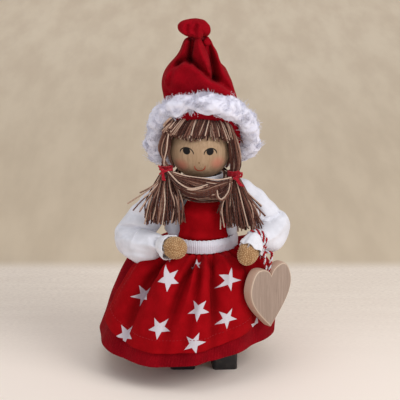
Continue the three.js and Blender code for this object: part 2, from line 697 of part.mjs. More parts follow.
function bunch(side) {
  const { side: sign } = BUNCH[side];
  const top = point(sign * TIE_REACH, -TIE_FORWARD + BUNCH_SET_BACK_SHARE * BUNCH_RADIUS, BUNCH_TOP);
  const tie = tieOf(side);
  const end = tie.clone().setZ(tie.z + TAIL_STEM_RADIUS + CLEARANCE);
  const stem = end.clone().setZ(end.z + TIE_HEIGHT);
  const middle = top.clone().lerp(stem, 0.5);
  middle.x += sign * BUNCH_BULGE;
  const radii = [BUNCH_START_SHARE * BUNCH_RADIUS, BUNCH_RADIUS, TAIL_STEM_RADIUS, TAIL_STEM_RADIUS];
  const rings = limb([top, middle, stem, end], radii);
  const capRoom = keepInside(
    ball(ORIGIN, HAIR_OUTSIDE + CLEARANCE, BALL_SIDES),
    block(point(-FAR, -FRINGE_DEPTH, -FAR), point(FAR, FAR, FAR)),
  );
  const fringeRoom = keepInside(
    ball(ORIGIN, HAIR_OUTSIDE + CLEARANCE, BALL_SIDES),
    block(point(-FAR, -FAR, FRINGE_DROP - CLEARANCE), point(FAR, FAR, FAR)),
  );
  const headRoom = ball(ORIGIN, HEAD_RADIUS + CLEARANCE, BALL_SIDES);
  return cut(skinned(rings), headRoom, capRoom, fringeRoom, furRing(CLEARANCE));
}

function tie(side) {
  const stem = tieOf(side);
  const radius = TAIL_STEM_RADIUS + TIE_YARN_RADIUS + 2 * CLEARANCE;
  const centre = stem.clone().setZ(stem.z + TAIL_STEM_RADIUS + TIE_HEIGHT / 2);
  const front = point(0, -1, 0);
  return wound(`hair_tie_${side}`, centre, point(0, 0, 1), front, radius, TIE_TURNS, TIE_YARN_RADIUS,
    TURN_GAP);
}

// The loose tail, from a round stem at the tie to a wide cut end. Its origin is the tie.
function tail(side, growth = 0) {
  const { side: sign, halfWidth, drift } = BUNCH[side];
  const widthShares = [0, 0.3, 0.55, 0.8, 1];
  const steps = 6;
  const rings = [];
  for (let step = 0; step <= steps; step++) {
    const share = step / steps;
    const place = share * (widthShares.length - 1);
    const low = Math.min(Math.floor(place), widthShares.length - 2);
    const spread = THREE.MathUtils.lerp(widthShares[low], widthShares[low + 1], place - low);
    const width = THREE.MathUtils.lerp(TAIL_STEM_RADIUS, halfWidth, spread) + growth;
    const fullness = Math.min(2 * share, 1);
    const thickness = THREE.MathUtils.lerp(TAIL_STEM_RADIUS, TAIL_THICKNESS, fullness) + growth;
    const centre = point(sign * drift * share, -TAIL_FORWARD * eased(share), -TAIL_LENGTH * share);
    rings.push(around(14, (angle) =>
      point(centre.x + width * Math.cos(angle), centre.y + thickness * Math.sin(angle), centre.z)));
  }
  return join(skinned(rings), ball(ORIGIN, TAIL_STEM_RADIUS + growth, 12));
}

function neckWrap() {
  const rings = around(ROUND_SIDES, (turn) => {
    const outwards = point(Math.sin(turn), -Math.cos(turn), 0);
    const sink = Math.tan(WRAP_TILT) * WRAP_RADIUS * Math.cos(turn);
    const centre = outwards.clone().multiplyScalar(WRAP_RADIUS).setZ(WRAP_HEIGHT - sink);
    return around(8, (angle) =>
      centre.clone().addScaledVector(outwards, WRAP_HALF_WIDTH * Math.cos(angle))
        .setZ(centre.z + WRAP_HALF_HEIGHT * Math.sin(angle)));
  });
  const chinRoom = ball(HEAD_CENTRE, HEAD_RADIUS + CLEARANCE, BALL_SIDES);
  const blouseRoom = turned([[0, BODY_BOTTOM], ...bodyProfile(BODY_BOTTOM, BODY_TOP + OVERRUN,
    BLOUSE_OFFSET + 2 * CLEARANCE + COTTON), [0, BODY_TOP + OVERRUN]], ROUND_SIDES);
  const tieRoom = ["right", "left"].flatMap((side) => {
    const place = tieOf(side).add(HEAD_CENTRE);
    const tieOutside = TAIL_STEM_RADIUS + 2 * TIE_YARN_RADIUS + 3 * CLEARANCE;
    return [
      rod(place.clone().setZ(place.z - OVERRUN), place.clone().setZ(HEAD_HEIGHT), tieOutside, 16),
      tail(side, 2 * CLEARANCE).translate(place.x, place.y, place.z),
      shoulderRoom(side),
    ];
  });
  const napeRoom = [
    keepInside(
      ball(ORIGIN, HAIR_OUTSIDE + CLEARANCE, BALL_SIDES),
      block(point(-FAR, -FAR, -HAIR_CAP_DROP), point(FAR, FAR, FAR)),
    ),
    furRing(CLEARANCE),
    skinned(hatOutside(CLEARANCE)),
  ].map((room) => room.translate(HEAD_CENTRE.x, HEAD_CENTRE.y, HEAD_CENTRE.z));
  return cut(skinned(rings, true), chinRoom, blouseRoom, ...tieRoom, ...napeRoom);
}

// Hat, in the head's frame: rings from the rim round the face and nape up to the gathered tip
const HAT_RIM_WIDTH = HAIR_OUTSIDE + HAT_EASE + HAT_FELT;
const HAT_TILT = THREE.MathUtils.degToRad(53);
// back, up and aside are shares of the hat's height, wide and deep of the rim's half width, tilt of HAT_TILT
const HAT_RING_SHARES = [
  { aside: 0, back: 0.055, up: 0.048, wide: 1, deep: 1.13, tilt: 1 },
  { aside: 0, back: 0.11, up: 0.105, wide: 1.05, deep: 1.14, tilt: 0.95 },
  { aside: 0.003, back: 0.136, up: 0.215, wide: 1.02, deep: 1.04, tilt: 0.76 },
  { aside: -0.01, back: 0.122, up: 0.35, wide: 0.96, deep: 0.87, tilt: 0.47 },
  { aside: -0.03, back: 0.11, up: 0.49, wide: 0.86, deep: 0.74, tilt: 0.23 },
  { aside: -0.035, back: 0.095, up: 0.61, wide: 0.68, deep: 0.59, tilt: 0.1 },
  { aside: -0.016, back: 0.088, up: 0.73, wide: 0.48, deep: 0.43, tilt: 0 },
  { aside: -0.01, back: 0.082, up: 0.815, wide: 0.33, deep: 0.31, tilt: 0 },
];
const HAT_NECK_SHARES = { aside: -0.016, back: 0.082, up: 0.862 };
const HAT_THREAD_HEIGHT = (HAT_THREAD_TURNS + 2) * 2 * HAT_THREAD_RADIUS;
// The tuft above the thread, as {wide: share of the tuft's half width, up: share of the hat's height}
const TUFT_HALF_WIDTH = 8.7;
const TUFT_DEPTH_SHARE = 0.78;
const TUFT_RING_SHARES = [
  { aside: -0.025, wide: 0.72, up: 0.904 },
  { aside: -0.04, wide: 1, up: 0.935 },
  { aside: -0.045, wide: 0.86, up: 0.972 },
  { aside: -0.045, wide: 0.4, up: 1 },
];

function hatRing({ aside, back, up, wide, deep, tilt }, offset) {
  const centre = point(aside, back, up).multiplyScalar(HAT_HEIGHT);
  const lean = HAT_TILT * tilt;
  const halfWidth = HAT_RIM_WIDTH * wide + offset;
  const halfDepth = HAT_RIM_WIDTH * deep + offset;
  return around(HAT_SIDES, (angle) =>
    centre.clone().add(point(
      halfWidth * Math.sin(angle),
      -halfDepth * Math.cos(angle) * Math.cos(lean),
      halfDepth * Math.cos(angle) * Math.sin(lean),
    )));
}

function roundRing({ aside, back, up }, halfWidth, halfDepth) {
  const centre = point(aside, back, up).multiplyScalar(HAT_HEIGHT);
  return around(HAT_SIDES, (angle) =>
    centre.clone().add(point(halfWidth * Math.sin(angle), -halfDepth * Math.cos(angle), 0)));
}

function hatOutside(offset) {
  return HAT_RING_SHARES.map((ring) => hatRing(ring, offset));
}

function hat() {
  const tuft = TUFT_RING_SHARES.map(({ aside, wide, up }) =>
    roundRing({ aside, back: HAT_NECK_SHARES.back, up }, TUFT_HALF_WIDTH * wide,
      TUFT_HALF_WIDTH * wide * TUFT_DEPTH_SHARE));
  const neck = [-HAT_THREAD_HEIGHT / 2, HAT_THREAD_HEIGHT / 2].map((rise) => {
    const up = HAT_NECK_SHARES.up + rise / HAT_HEIGHT;
    return roundRing({ ...HAT_NECK_SHARES, up }, HAT_NECK_RADIUS, HAT_NECK_RADIUS);
  });
  return skinned([...[...hatOutside(0), ...neck, ...tuft].reverse(), ...hatOutside(-HAT_FELT)]);
}

function hatThread() {
  const { aside, back, up } = HAT_NECK_SHARES;
  const centre = point(aside, back, up).multiplyScalar(HAT_HEIGHT);
  const yarn = wound("hat_gather_thread", centre, point(0, 0, 1), point(0, 1, 0),
    HAT_NECK_RADIUS + HAT_THREAD_RADIUS + CLEARANCE, HAT_THREAD_TURNS, HAT_THREAD_RADIUS, TURN_GAP);
  return yarn;
}

// The fur band lies over the hat's second ring.
function furRing(growth) {
  const wide = HAT_RIM_WIDTH * HAT_RING_SHARES[1].wide + FUR_STAND_OFF_SHARE * FUR_RADIUS;
  const deep = HAT_RIM_WIDTH * HAT_RING_SHARES[1].deep + FUR_STAND_OFF_SHARE * FUR_RADIUS;
  const lean = HAT_TILT * HAT_RING_SHARES[1].tilt;
  const centre = point(0, HAT_RING_SHARES[1].back, HAT_RING_SHARES[1].up).multiplyScalar(HAT_HEIGHT);
  const across = point(0, Math.sin(lean), Math.cos(lean));
  const rings = around(HAT_SIDES, (turn) => {
    const ahead = -Math.cos(turn);
    const outwards = point(Math.sin(turn), ahead * Math.cos(lean), -ahead * Math.sin(lean));
    const middle = centre.clone().add(point(
      wide * Math.sin(turn),
      -deep * Math.cos(turn) * Math.cos(lean),
      deep * Math.cos(turn) * Math.sin(lean),
    ));
    return around(8, (angle) =>
      middle.clone().addScaledVector(outwards, (FUR_RADIUS + growth) * Math.cos(angle))
        .addScaledVector(across, (FUR_RADIUS + growth) * Math.sin(angle)));
  });
  return skinned(rings, true);
}

function furBand() {
  const rimRoom = hatRing(HAT_RING_SHARES[0], CLEARANCE);
  const forwards = point(0, -Math.sin(HAT_TILT), -Math.cos(HAT_TILT)).multiplyScalar(2 * FUR_RADIUS);
  const opening = rimRoom.map((corner) => corner.clone().add(forwards));
  return cut(furRing(0), skinned([opening, ...hatOutside(CLEARANCE)]));
}

// Arms: each sleeve half is a shell round its wadding, and the wire runs through both

const hangingPoint = () => {
  const reach = HEM_RADIUS - HANGING_INSIDE_HEM;
  const across = reach * Math.sin(HANGING_BEARING);
  return point(across, -reach * Math.cos(HANGING_BEARING), SKIRT_TOP - HANGING_DROP);
};
const elbowOf = (side) =>
  side === "right"
    ? point(-SHOULDER_REACH - RIGHT_ELBOW_OUT, -ELBOW_FORWARD, SKIRT_TOP - RIGHT_ELBOW_DROP)
    : point(SHOULDER_REACH + LEFT_ELBOW_OUT, -ELBOW_FORWARD, SKIRT_TOP + LEFT_ELBOW_RISE);
const cuffOf = (side) =>
  side === "right"
    ? point(-SHOULDER_REACH - RIGHT_CUFF_OUT, -RIGHT_CUFF_FORWARD, SKIRT_TOP - RIGHT_CUFF_DROP)
    : hangingPoint().add(point(-LEFT_CUFF_INWARDS, -LEFT_CUFF_FORWARD, LEFT_CUFF_RISE));
const handAxis = (side) => ARM[side].handDirection.clone().normalize();
const HAND_REACH = HAND_GAP + HAND_LENGTH / 2; // from the gathered cuff to the hand's middle

function upperArmSolid(side, inset) {
  const shoulder = shoulderOf(side);
  const elbow = elbowOf(side);
  const rings = limb([shoulder, shoulder.clone().lerp(elbow, 0.5), elbow],
    [SHOULDER_RADIUS, UPPER_SWELL_RADIUS, UPPER_END_RADIUS].map((radius) => radius - inset), LIMB_SIDES, 4);
  return join(skinned(rings), ball(shoulder, SHOULDER_RADIUS - inset, 12));
}

function upperSleeve(side) {
  const shoulder = shoulderOf(side);
  const inwards = point(-ARM[side].side, 0, 0);
  const armhole = rod(shoulder, shoulder.clone().addScaledVector(inwards, SHOULDER_RADIUS + OVERRUN),
    SHOULDER_RADIUS - 2 * KNIT, 16);
  return cut(upperArmSolid(side, 0), upperArmSolid(side, KNIT), armhole, lowerArmRoom(side));
}

function upperWadding(side) {
  const shoulder = shoulderOf(side);
  const elbow = elbowOf(side);
  const along = elbow.clone().sub(shoulder).normalize();
  const start = shoulder.clone().addScaledVector(along, WADDING_START);
  const rings = limb([start, start.clone().lerp(elbow, 0.5), elbow],
    [SHOULDER_RADIUS, UPPER_SWELL_RADIUS, UPPER_END_RADIUS].map((radius) => radius - 2 * KNIT),
    LIMB_SIDES, 3);
  const channel = rod(shoulder, elbow, WIRE_RADIUS + CLEARANCE, WIRE_SIDES);
  return cut(skinned(rings), channel, lowerArmRoom(side));
}

function upperWire(side) {
  const shoulder = shoulderOf(side);
  const elbow = elbowOf(side);
  const along = elbow.clone().sub(shoulder).normalize();
  const end = elbow.clone().addScaledVector(along, -(WIRE_RADIUS + CLEARANCE));
  return join(rod(shoulder, end, WIRE_RADIUS, WIRE_SIDES), ball(shoulder, WIRE_RADIUS, WIRE_SIDES));
}

// The elbow, the swelling below it, the start and end of the gathered cuff, and the end of the frill
function forearmPath(side) {
  const elbow = elbowOf(side);
  const cuff = cuffOf(side);
  const along = cuff.clone().sub(elbow).normalize();
  return {
    elbow,
    middle: elbow.clone().lerp(cuff, 0.4),
    gather: cuff.clone().addScaledVector(along, -GATHER_LENGTH),
    cuff,
    frillEnd: cuff.clone().addScaledVector(handAxis(side), FRILL_LENGTH),
  };
}

// The lower sleeve swells below the elbow, is gathered at the cuff and flares into a frill.
function lowerArmRings(side, growth) {
  const { elbow, middle, gather, cuff } = forearmPath(side);
  const radii = [ELBOW_RADIUS, SWELL_RADIUS, CUFF_RADIUS, CUFF_RADIUS];
  return limb([elbow, middle, gather, cuff], radii.map((radius) => radius + growth));
}

function lowerSleeveSolid(side, inset) {
  const { elbow, cuff, frillEnd } = forearmPath(side);
  const frillRadii = [CUFF_RADIUS, (CUFF_RADIUS + FRILL_RADIUS) / 2, FRILL_RADIUS];
  const frill = limb([cuff, cuff.clone().lerp(frillEnd, 0.5), frillEnd],
    frillRadii.map((radius) => radius - inset), LIMB_SIDES, 2);
  return join(
    skinned([...lowerArmRings(side, -inset), ...frill.slice(1)]),
    ball(elbow, ELBOW_RADIUS - inset, ELBOW_SIDES),
  );
}

// The room that the lower sleeve sweeps as the elbow swings outwards
function lowerArmRoom(side) {
  const elbow = elbowOf(side);
  const rings = lowerArmRings(side, 1.5 * CLEARANCE).slice(0, -1);
  const swings = Array.from({ length: ELBOW_SWING_STEPS + 1 }, (_, step) =>
    skinned(rings)
      .translate(-elbow.x, -elbow.y, 0)
      .rotateZ(ARM[side].side * ELBOW_SWING * (step / ELBOW_SWING_STEPS))
      .translate(elbow.x, elbow.y, 0));
  return join(ball(elbow, ELBOW_RADIUS + 1.5 * CLEARANCE, ELBOW_SIDES), ...swings);
}

function lowerSleeve(side) {
  const { elbow, cuff, frillEnd } = forearmPath(side);
  const along = frillEnd.clone().sub(cuff).normalize();
  const mouth = rod(
    frillEnd.clone().addScaledVector(along, -KNIT),
    frillEnd.clone().addScaledVector(along, OVERRUN),
    FRILL_RADIUS - KNIT,
    12,
  );
  const elbowHole = block(
    point(elbow.x - ELBOW_RADIUS, elbow.y - ELBOW_RADIUS, elbow.z + ELBOW_OPENING_SHARE * ELBOW_RADIUS),
    point(elbow.x + ELBOW_RADIUS, elbow.y + ELBOW_RADIUS, elbow.z + 2 * ELBOW_RADIUS),
  );
  return cut(lowerSleeveSolid(side, 0), lowerSleeveSolid(side, KNIT), mouth, elbowHole, egg(side, CLEARANCE));
}

function lowerWadding(side) {
  const { elbow, middle, gather, cuff } = forearmPath(side);
  const start = elbow.clone().addScaledVector(cuff.clone().sub(elbow).normalize(), WADDING_START);
  const rings = limb([start, middle, gather],
    [ELBOW_RADIUS - 3 * KNIT, SWELL_RADIUS - 2.5 * KNIT, CUFF_RADIUS - 2 * KNIT], 8, 4);
  return cut(skinned(rings), rod(elbow, cuff, WIRE_RADIUS + CLEARANCE, WIRE_SIDES));
}

function forearmWire(side) {
  const elbow = elbowOf(side);
  const cuff = cuffOf(side);
  const tip = cuff.clone().addScaledVector(handAxis(side), HAND_REACH - HAND_RADIUS / 2);
  const bends = [elbow, cuff].map((place) => ball(place, WIRE_RADIUS, WIRE_SIDES));
  return join(rod(elbow, cuff, WIRE_RADIUS, WIRE_SIDES), ...bends, rod(cuff, tip, WIRE_RADIUS, WIRE_SIDES));
}

function egg(side, growth) {
  const axis = handAxis(side);
  const centre = cuffOf(side).addScaledVector(axis, HAND_REACH);
  return new THREE.SphereGeometry(1, 14, 10)
    .scale(HAND_RADIUS + growth, HAND_LENGTH / 2 + growth, HAND_RADIUS + growth)
    .applyQuaternion(new THREE.Quaternion().setFromUnitVectors(new THREE.Vector3(0, 1, 0), axis))
    .translate(centre.x, centre.y, centre.z);
}

function hand(side) {
  const cuff = cuffOf(side);
  const axis = handAxis(side);
  const channel = rod(cuff, cuff.clone().addScaledVector(axis, HAND_REACH - HAND_RADIUS / 2 + CLEARANCE),
    WIRE_RADIUS + CLEARANCE, WIRE_SIDES);
  return cut(egg(side, 0), channel);
}

function cuffThread(side) {
  const { gather, cuff } = forearmPath(side);
  const along = cuff.clone().sub(gather).normalize();
  return wound(`cuff_thread_${side}`, gather.clone().lerp(cuff, 0.5), along, point(0, 0, 1),
    CUFF_RADIUS + CUFF_THREAD_RADIUS + 2 * CLEARANCE, CUFF_THREAD_TURNS, CUFF_THREAD_RADIUS, TURN_GAP);
}

// Heart and twine

const heartAcross = point(Math.cos(HEART_YAW), Math.sin(HEART_YAW), 0);

function heartOutline() {
  const half = HEART_WIDTH / 2;
  const top = HEART_NOTCH_DROP;
  const tip = HEART_NOTCH_DROP - HEART_HEIGHT;
  const shape = new THREE.Shape();
  shape.moveTo(0, 0);
  shape.bezierCurveTo(0.08 * half, 0.8 * top, 0.4 * half, top, 0.56 * half, top);
  shape.bezierCurveTo(0.84 * half, top, half, 0.1 * tip, half, 0.2 * tip);
  shape.bezierCurveTo(half, 0.5 * tip, 0.4 * half, 0.78 * tip, 0, tip);
  shape.bezierCurveTo(-0.4 * half, 0.78 * tip, -half, 0.5 * tip, -half, 0.2 * tip);
  shape.bezierCurveTo(-half, 0.1 * tip, -0.84 * half, top, -0.56 * half, top);
  shape.bezierCurveTo(-0.4 * half, top, -0.08 * half, 0.8 * top, 0, 0);
  return shape;
}

// Its origin is the notch, in the middle of its thickness. Local X is across it and local Y is up.
function heart() {
  const depth = HEART_THICKNESS - 2 * HEART_EDGE;
  const plate = new THREE.ExtrudeGeometry(heartOutline(), {
    depth,
    curveSegments: 6,
    bevelThickness: HEART_EDGE,
    bevelSize: HEART_EDGE,
    bevelOffset: -HEART_EDGE,
    bevelSegments: 1,
  });
  plate.translate(0, 0, -depth / 2);
  const slot = new THREE.Shape();
  const reach = TWINE_RADIUS + CLEARANCE;
  slot.absarc(TWINE_PINCH, 0, reach, -Math.PI / 2, Math.PI / 2);
  slot.absarc(-TWINE_PINCH, 0, reach, Math.PI / 2, 1.5 * Math.PI);
  const socket = new THREE.ExtrudeGeometry(slot, {
    depth: HEART_SOCKET_DEPTH + OVERRUN,
    bevelEnabled: false,
    curveSegments: 5,
  });
  socket.rotateX(Math.PI / 2).translate(0, OVERRUN, 0);
  return cut(plate, socket);
}

// One strand down into the heart and back up again. Its origin is the hanging point.
function heartTwine() {
  const top = -CLEARANCE;
  const bottom = -TWINE_DROP - HEART_SOCKET_DEPTH + TWINE_RADIUS + 2 * CLEARANCE;
  const bend = bottom + TWINE_PINCH;
  const along = (across, up) => heartAcross.clone().multiplyScalar(across).setZ(up);
  const curve = new THREE.CatmullRomCurve3([
    along(-TWINE_SPREAD, top),
    along(-TWINE_SPREAD, top - TWINE_RADIUS),
    along(-TWINE_PINCH, -TWINE_DROP + HEART_NOTCH_DROP / 2),
    along(-TWINE_PINCH, -TWINE_DROP - CLEARANCE),
    along(-TWINE_PINCH, bend),
    along(0, bottom),
    along(TWINE_PINCH, bend),
    along(TWINE_PINCH, -TWINE_DROP - CLEARANCE),
    along(TWINE_PINCH, -TWINE_DROP + HEART_NOTCH_DROP / 2),
    along(TWINE_SPREAD, top - TWINE_RADIUS),
    along(TWINE_SPREAD, top),
  ]);
  // What stays clear of the wrist's twine at rest and after the swing
  const far = TWINE_DROP;
  const above = () => block(point(-far, -far, top), point(far, far, far));
  const swung = above().applyMatrix4(new THREE.Matrix4().makeRotationAxis(heartAcross, HEART_SWING));
  return cut(tube(curve, TWINE_RADIUS, 28), above(), swung);
}

// The twine comes up from the hanging point, winds round the gathered cuff and goes down again.
function wristTwine() {
  const { gather, cuff } = forearmPath("left");
  const along = cuff.clone().sub(gather).normalize();
  const hanging = hangingPoint();
  const radius = CUFF_RADIUS + TWINE_RADIUS + 2 * CLEARANCE;
  const centre = gather.clone().lerp(cuff, 0.4);
  const downwards = hanging.clone().sub(centre);
  const winding = woundPoints(centre, along, downwards, radius, TWINE_TURNS, -TWINE_PITCH, WINDING_STEPS);
  const strand = (across) => hanging.clone().addScaledVector(heartAcross, across);
  const aboveStrand = (across) => strand(across).setZ(hanging.z + TWINE_RADIUS);
  const points = [
    strand(-TWINE_SPREAD),
    aboveStrand(-TWINE_SPREAD),
    ...winding.slice(1, -1),
    aboveStrand(TWINE_SPREAD),
    strand(TWINE_SPREAD),
  ];
  const gap = leastGap(winding, WINDING_STEPS, 2 * TWINE_RADIUS);
  console.log(`wrist_twine: least gap between turns ${gap.toFixed(2)} mm`);
  return tube(new THREE.CatmullRomCurve3(points), TWINE_RADIUS, 2 * points.length);
}

// Assembly

function named(name, geometry, look) {
  const mesh = new THREE.Mesh(geometry, look);
  mesh.name = name;
  return mesh;
}

const doll = new THREE.Group();

for (const side of ["right", "left"]) doll.add(shoe(side), leg(side));
doll.add(
  named("body_block", bodyBlock(), MATERIALS.birch),
  named("neck_dowel", neckDowel(), MATERIALS.birch),
  named("shoulder_wire", shoulderWire(), MATERIALS.steelWire),
  named("blouse", blouse(), MATERIALS.whiteKnit),
  named("bib", bib(), MATERIALS.starCotton),
  named("felt_skirt", feltSkirt(), MATERIALS.skirtFelt),
  named("star_apron", apron(), MATERIALS.starCotton),
  named("waist_ribbon", ribbon(), MATERIALS.whiteRibbon),
  named("neck_wrap", neckWrap(), MATERIALS.brownYarn),
);

const head = new THREE.Group();
head.position.copy(HEAD_CENTRE);
head.add(
  named("head_ball", headBall(), MATERIALS.skinWood),
  named("hair_cap", hairCap(), MATERIALS.brownYarn),
  named("fringe", fringe(), MATERIALS.brownYarn),
  named("hat", hat(), MATERIALS.hatFelt),
  named("hat_fur_band", furBand(), MATERIALS.whiteFur),
  named("hat_gather_thread", hatThread(), MATERIALS.redYarn),
);
for (const side of ["right", "left"]) {
  head.add(
    named(`hair_bunch_${side}`, bunch(side), MATERIALS.brownYarn),
    named(`hair_tie_${side}`, tie(side), MATERIALS.redYarn),
  );
  const loose = named(`hair_tail_${side}`, tail(side), MATERIALS.brownYarn);
  loose.position.copy(tieOf(side));
  head.add(loose);
}
doll.add(head);

for (const side of ["right", "left"]) {
  doll.add(
    named(`upper_sleeve_${side}`, upperSleeve(side), MATERIALS.whiteKnit),
    named(`upper_wadding_${side}`, upperWadding(side), MATERIALS.wadding),
    named(`upper_arm_wire_${side}`, upperWire(side), MATERIALS.steelWire),
    named(`lower_sleeve_${side}`, lowerSleeve(side), MATERIALS.whiteKnit),
    named(`lower_wadding_${side}`, lowerWadding(side), MATERIALS.wadding),
    named(`forearm_wire_${side}`, forearmWire(side), MATERIALS.steelWire),
    named(`hand_${side}`, hand(side), MATERIALS.tanKnit),
  );
}
doll.add(named("cuff_thread_right", cuffThread("right"), MATERIALS.wadding));
doll.add(named("wrist_twine", wristTwine(), MATERIALS.twine));

const pendant = new THREE.Group();
pendant.position.copy(hangingPoint());
const plate = named("heart", heart(), MATERIALS.heartWood);
plate.position.z = -TWINE_DROP;
plate.rotation.set(Math.PI / 2, 0, HEART_YAW, "ZXY");
pendant.add(plate, named("heart_twine", heartTwine(), MATERIALS.twine));
doll.add(pendant);

// The origin is on the floor below the middle of the doll's box.
doll.updateMatrixWorld(true);
const box = new THREE.Box3().setFromObject(doll, true);
const middle = box.getCenter(new THREE.Vector3());
const tomteDoll = new THREE.Group();
tomteDoll.add(doll);
doll.position.set(-middle.x, -middle.y, -box.min.z);

export default tomteDoll;
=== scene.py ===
"""Looks for the girl tomte doll: felt, cotton, fur, yarn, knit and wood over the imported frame."""
import math

import bpy
import numpy as np
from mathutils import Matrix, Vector


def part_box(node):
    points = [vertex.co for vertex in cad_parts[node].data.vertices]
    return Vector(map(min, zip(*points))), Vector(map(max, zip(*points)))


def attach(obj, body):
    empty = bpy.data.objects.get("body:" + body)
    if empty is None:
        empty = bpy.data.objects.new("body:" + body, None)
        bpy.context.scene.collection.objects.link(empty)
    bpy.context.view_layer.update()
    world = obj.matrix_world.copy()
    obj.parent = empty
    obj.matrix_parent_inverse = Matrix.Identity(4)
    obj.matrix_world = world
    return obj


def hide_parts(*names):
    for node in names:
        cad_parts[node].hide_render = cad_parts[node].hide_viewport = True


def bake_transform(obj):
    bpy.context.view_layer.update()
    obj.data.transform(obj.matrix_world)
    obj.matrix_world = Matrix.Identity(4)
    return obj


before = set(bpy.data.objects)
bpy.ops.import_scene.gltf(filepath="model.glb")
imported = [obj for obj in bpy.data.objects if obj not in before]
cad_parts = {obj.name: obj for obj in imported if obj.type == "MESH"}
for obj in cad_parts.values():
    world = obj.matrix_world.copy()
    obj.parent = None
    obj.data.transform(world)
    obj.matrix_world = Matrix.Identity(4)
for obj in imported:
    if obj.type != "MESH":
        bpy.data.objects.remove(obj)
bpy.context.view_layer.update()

MM = 0.001
TAU = 2 * math.pi

# The doll's axis in the shared frame. Shapes are laid out in millimetres from it, with Z = 0 on the floor.
BLOCK_LOW, BLOCK_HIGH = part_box("body_block")
AXIS = np.array([(BLOCK_LOW[0] + BLOCK_HIGH[0]) / 2, (BLOCK_LOW[1] + BLOCK_HIGH[1]) / 2, 0.0])

# Sizes repeated from the part's source, in millimetres
HEAD = np.array([-1.6, 0.0, 130.0])
HEAD_RADIUS = 17.5
HAIR_INSIDE = 17.8
HAIR_OUTSIDE = 20.0
BODY_RADIUS = 15.0
NECK_RADIUS = 8.3
WAIST_RADIUS = 18.3
SKIRT_TOP = 80.5
HEM_HEIGHT = 20.0
HEM_RADIUS = 52.0
TIES = {"right": np.array([-20.5, -10.5, 119.0]), "left": np.array([17.3, -10.5, 116.0])}
SIGNS = {"right": -1, "left": 1}
SHOULDERS = {"right": np.array([-20.6, 0, 102.5]), "left": np.array([20.6, 0, 102.5])}
ELBOWS = {"right": np.array([-42.5, -4, 78.0]), "left": np.array([43.0, -4, 81.0])}
CUFFS = {"right": np.array([-21.7, -25.7, 80.3]), "left": np.array([28.5, -28.0, 83.0])}
HAND_AXES = {"right": np.array([0.69, -0.72, 0.08]), "left": np.array([-0.45, -0.52, -0.73])}
HANGING = np.array([36.6, -27.2, 74.5])
UPRIGHT = np.array([0, 0, 1.0])
HEART_ACROSS = np.array([math.sqrt(0.5), math.sqrt(0.5), 0])
HEART_NOTCH = HANGING - np.array([0, 0, 11.0])
HAT_HEIGHT = 73.6
HAT_RIM = 22.5
HAT_TILT = math.radians(53)

# Camera: 18 degrees above the horizon, one metre from the doll's middle
CAMERA_ELEVATION = math.radians(18)
CAMERA_DISTANCE = 1000.0
CAMERA_TARGET = np.array([-1.72, 0.0, 98.8])
FOCAL_PIXELS = 1742.0
IMAGE_PIXELS = 400.0
HALF_IMAGE = IMAGE_PIXELS / 2
CAMERA_AHEAD = np.array([0, math.cos(CAMERA_ELEVATION), -math.sin(CAMERA_ELEVATION)])
CAMERA_UP = np.array([0, math.sin(CAMERA_ELEVATION), math.cos(CAMERA_ELEVATION)])
EYE = CAMERA_TARGET - CAMERA_DISTANCE * CAMERA_AHEAD


# Small helpers

def unit(v):
    v = np.asarray(v, float)
    return v / np.linalg.norm(v, axis=-1, keepdims=True)


def ease(x):
    x = np.clip(x, 0, 1)
    return x * x * (3 - 2 * x)


def smooth_run(values, t):
    """A Catmull-Rom run through rows of values, with t from 0 to 1."""
    values = np.asarray(values, float)
    t = np.clip(np.asarray(t, float), 0, 1) * (len(values) - 1)
    i = np.clip(np.floor(t).astype(int), 0, len(values) - 2)
    f = (t - i)[..., None]
    p0, p1 = values[np.maximum(i - 1, 0)], values[i]
    p2, p3 = values[i + 1], values[np.minimum(i + 2, len(values) - 1)]
    v0, v1 = (p2 - p0) / 2, (p3 - p1) / 2
    return (2 * p1 - 2 * p2 + v0 + v1) * f**3 + (-3 * p1 + 3 * p2 - 2 * v0 - v1) * f**2 + v0 * f + p1


def round_angles(count):
    """Even angles all the way round."""
    return np.linspace(0, TAU, count, endpoint=False)


def level_way(angle):
    """The level way outwards at an angle round the doll, which is 0 in front and grows to its left."""
    return np.stack([np.sin(angle), -np.cos(angle), 0 * angle], axis=-1)


def lengths_along(points):
    """How far each point of a run lies along it."""
    return np.concatenate([[0], np.cumsum(np.linalg.norm(np.diff(points, axis=0), axis=1))])


def ray_through(px, py):
    """The way from the camera through a place in the photograph."""
    return CAMERA_AHEAD * FOCAL_PIXELS + (HALF_IMAGE - py) * CAMERA_UP + np.array([px - HALF_IMAGE, 0, 0])


def photo_pixels(points):
    """Where points, in millimetres from the axis, fall in the photograph's 400 by 400 frame."""
    away = np.asarray(points, float) - EYE
    scale = FOCAL_PIXELS / (away @ CAMERA_AHEAD)
    return np.stack([HALF_IMAGE + away[..., 0] * scale, HALF_IMAGE - (away @ CAMERA_UP) * scale], axis=-1)


def at_pixel(px, py, depth):
    """The place seen at a pixel of the photograph, at this depth (Y) in the doll's millimetres."""
    ray = ray_through(px, py)
    return EYE + ray * (depth - EYE[1]) / ray[1]


def on_ball(px, py, radius):
    """The near side of a ball round the head's middle, where it shows at a place in the photograph."""
    ray = unit(ray_through(px, py))
    gap = EYE - HEAD
    b = ray @ gap
    inside = max(b * b - gap @ gap + radius * radius, 0.0)
    return EYE + ray * (-b - math.sqrt(inside))


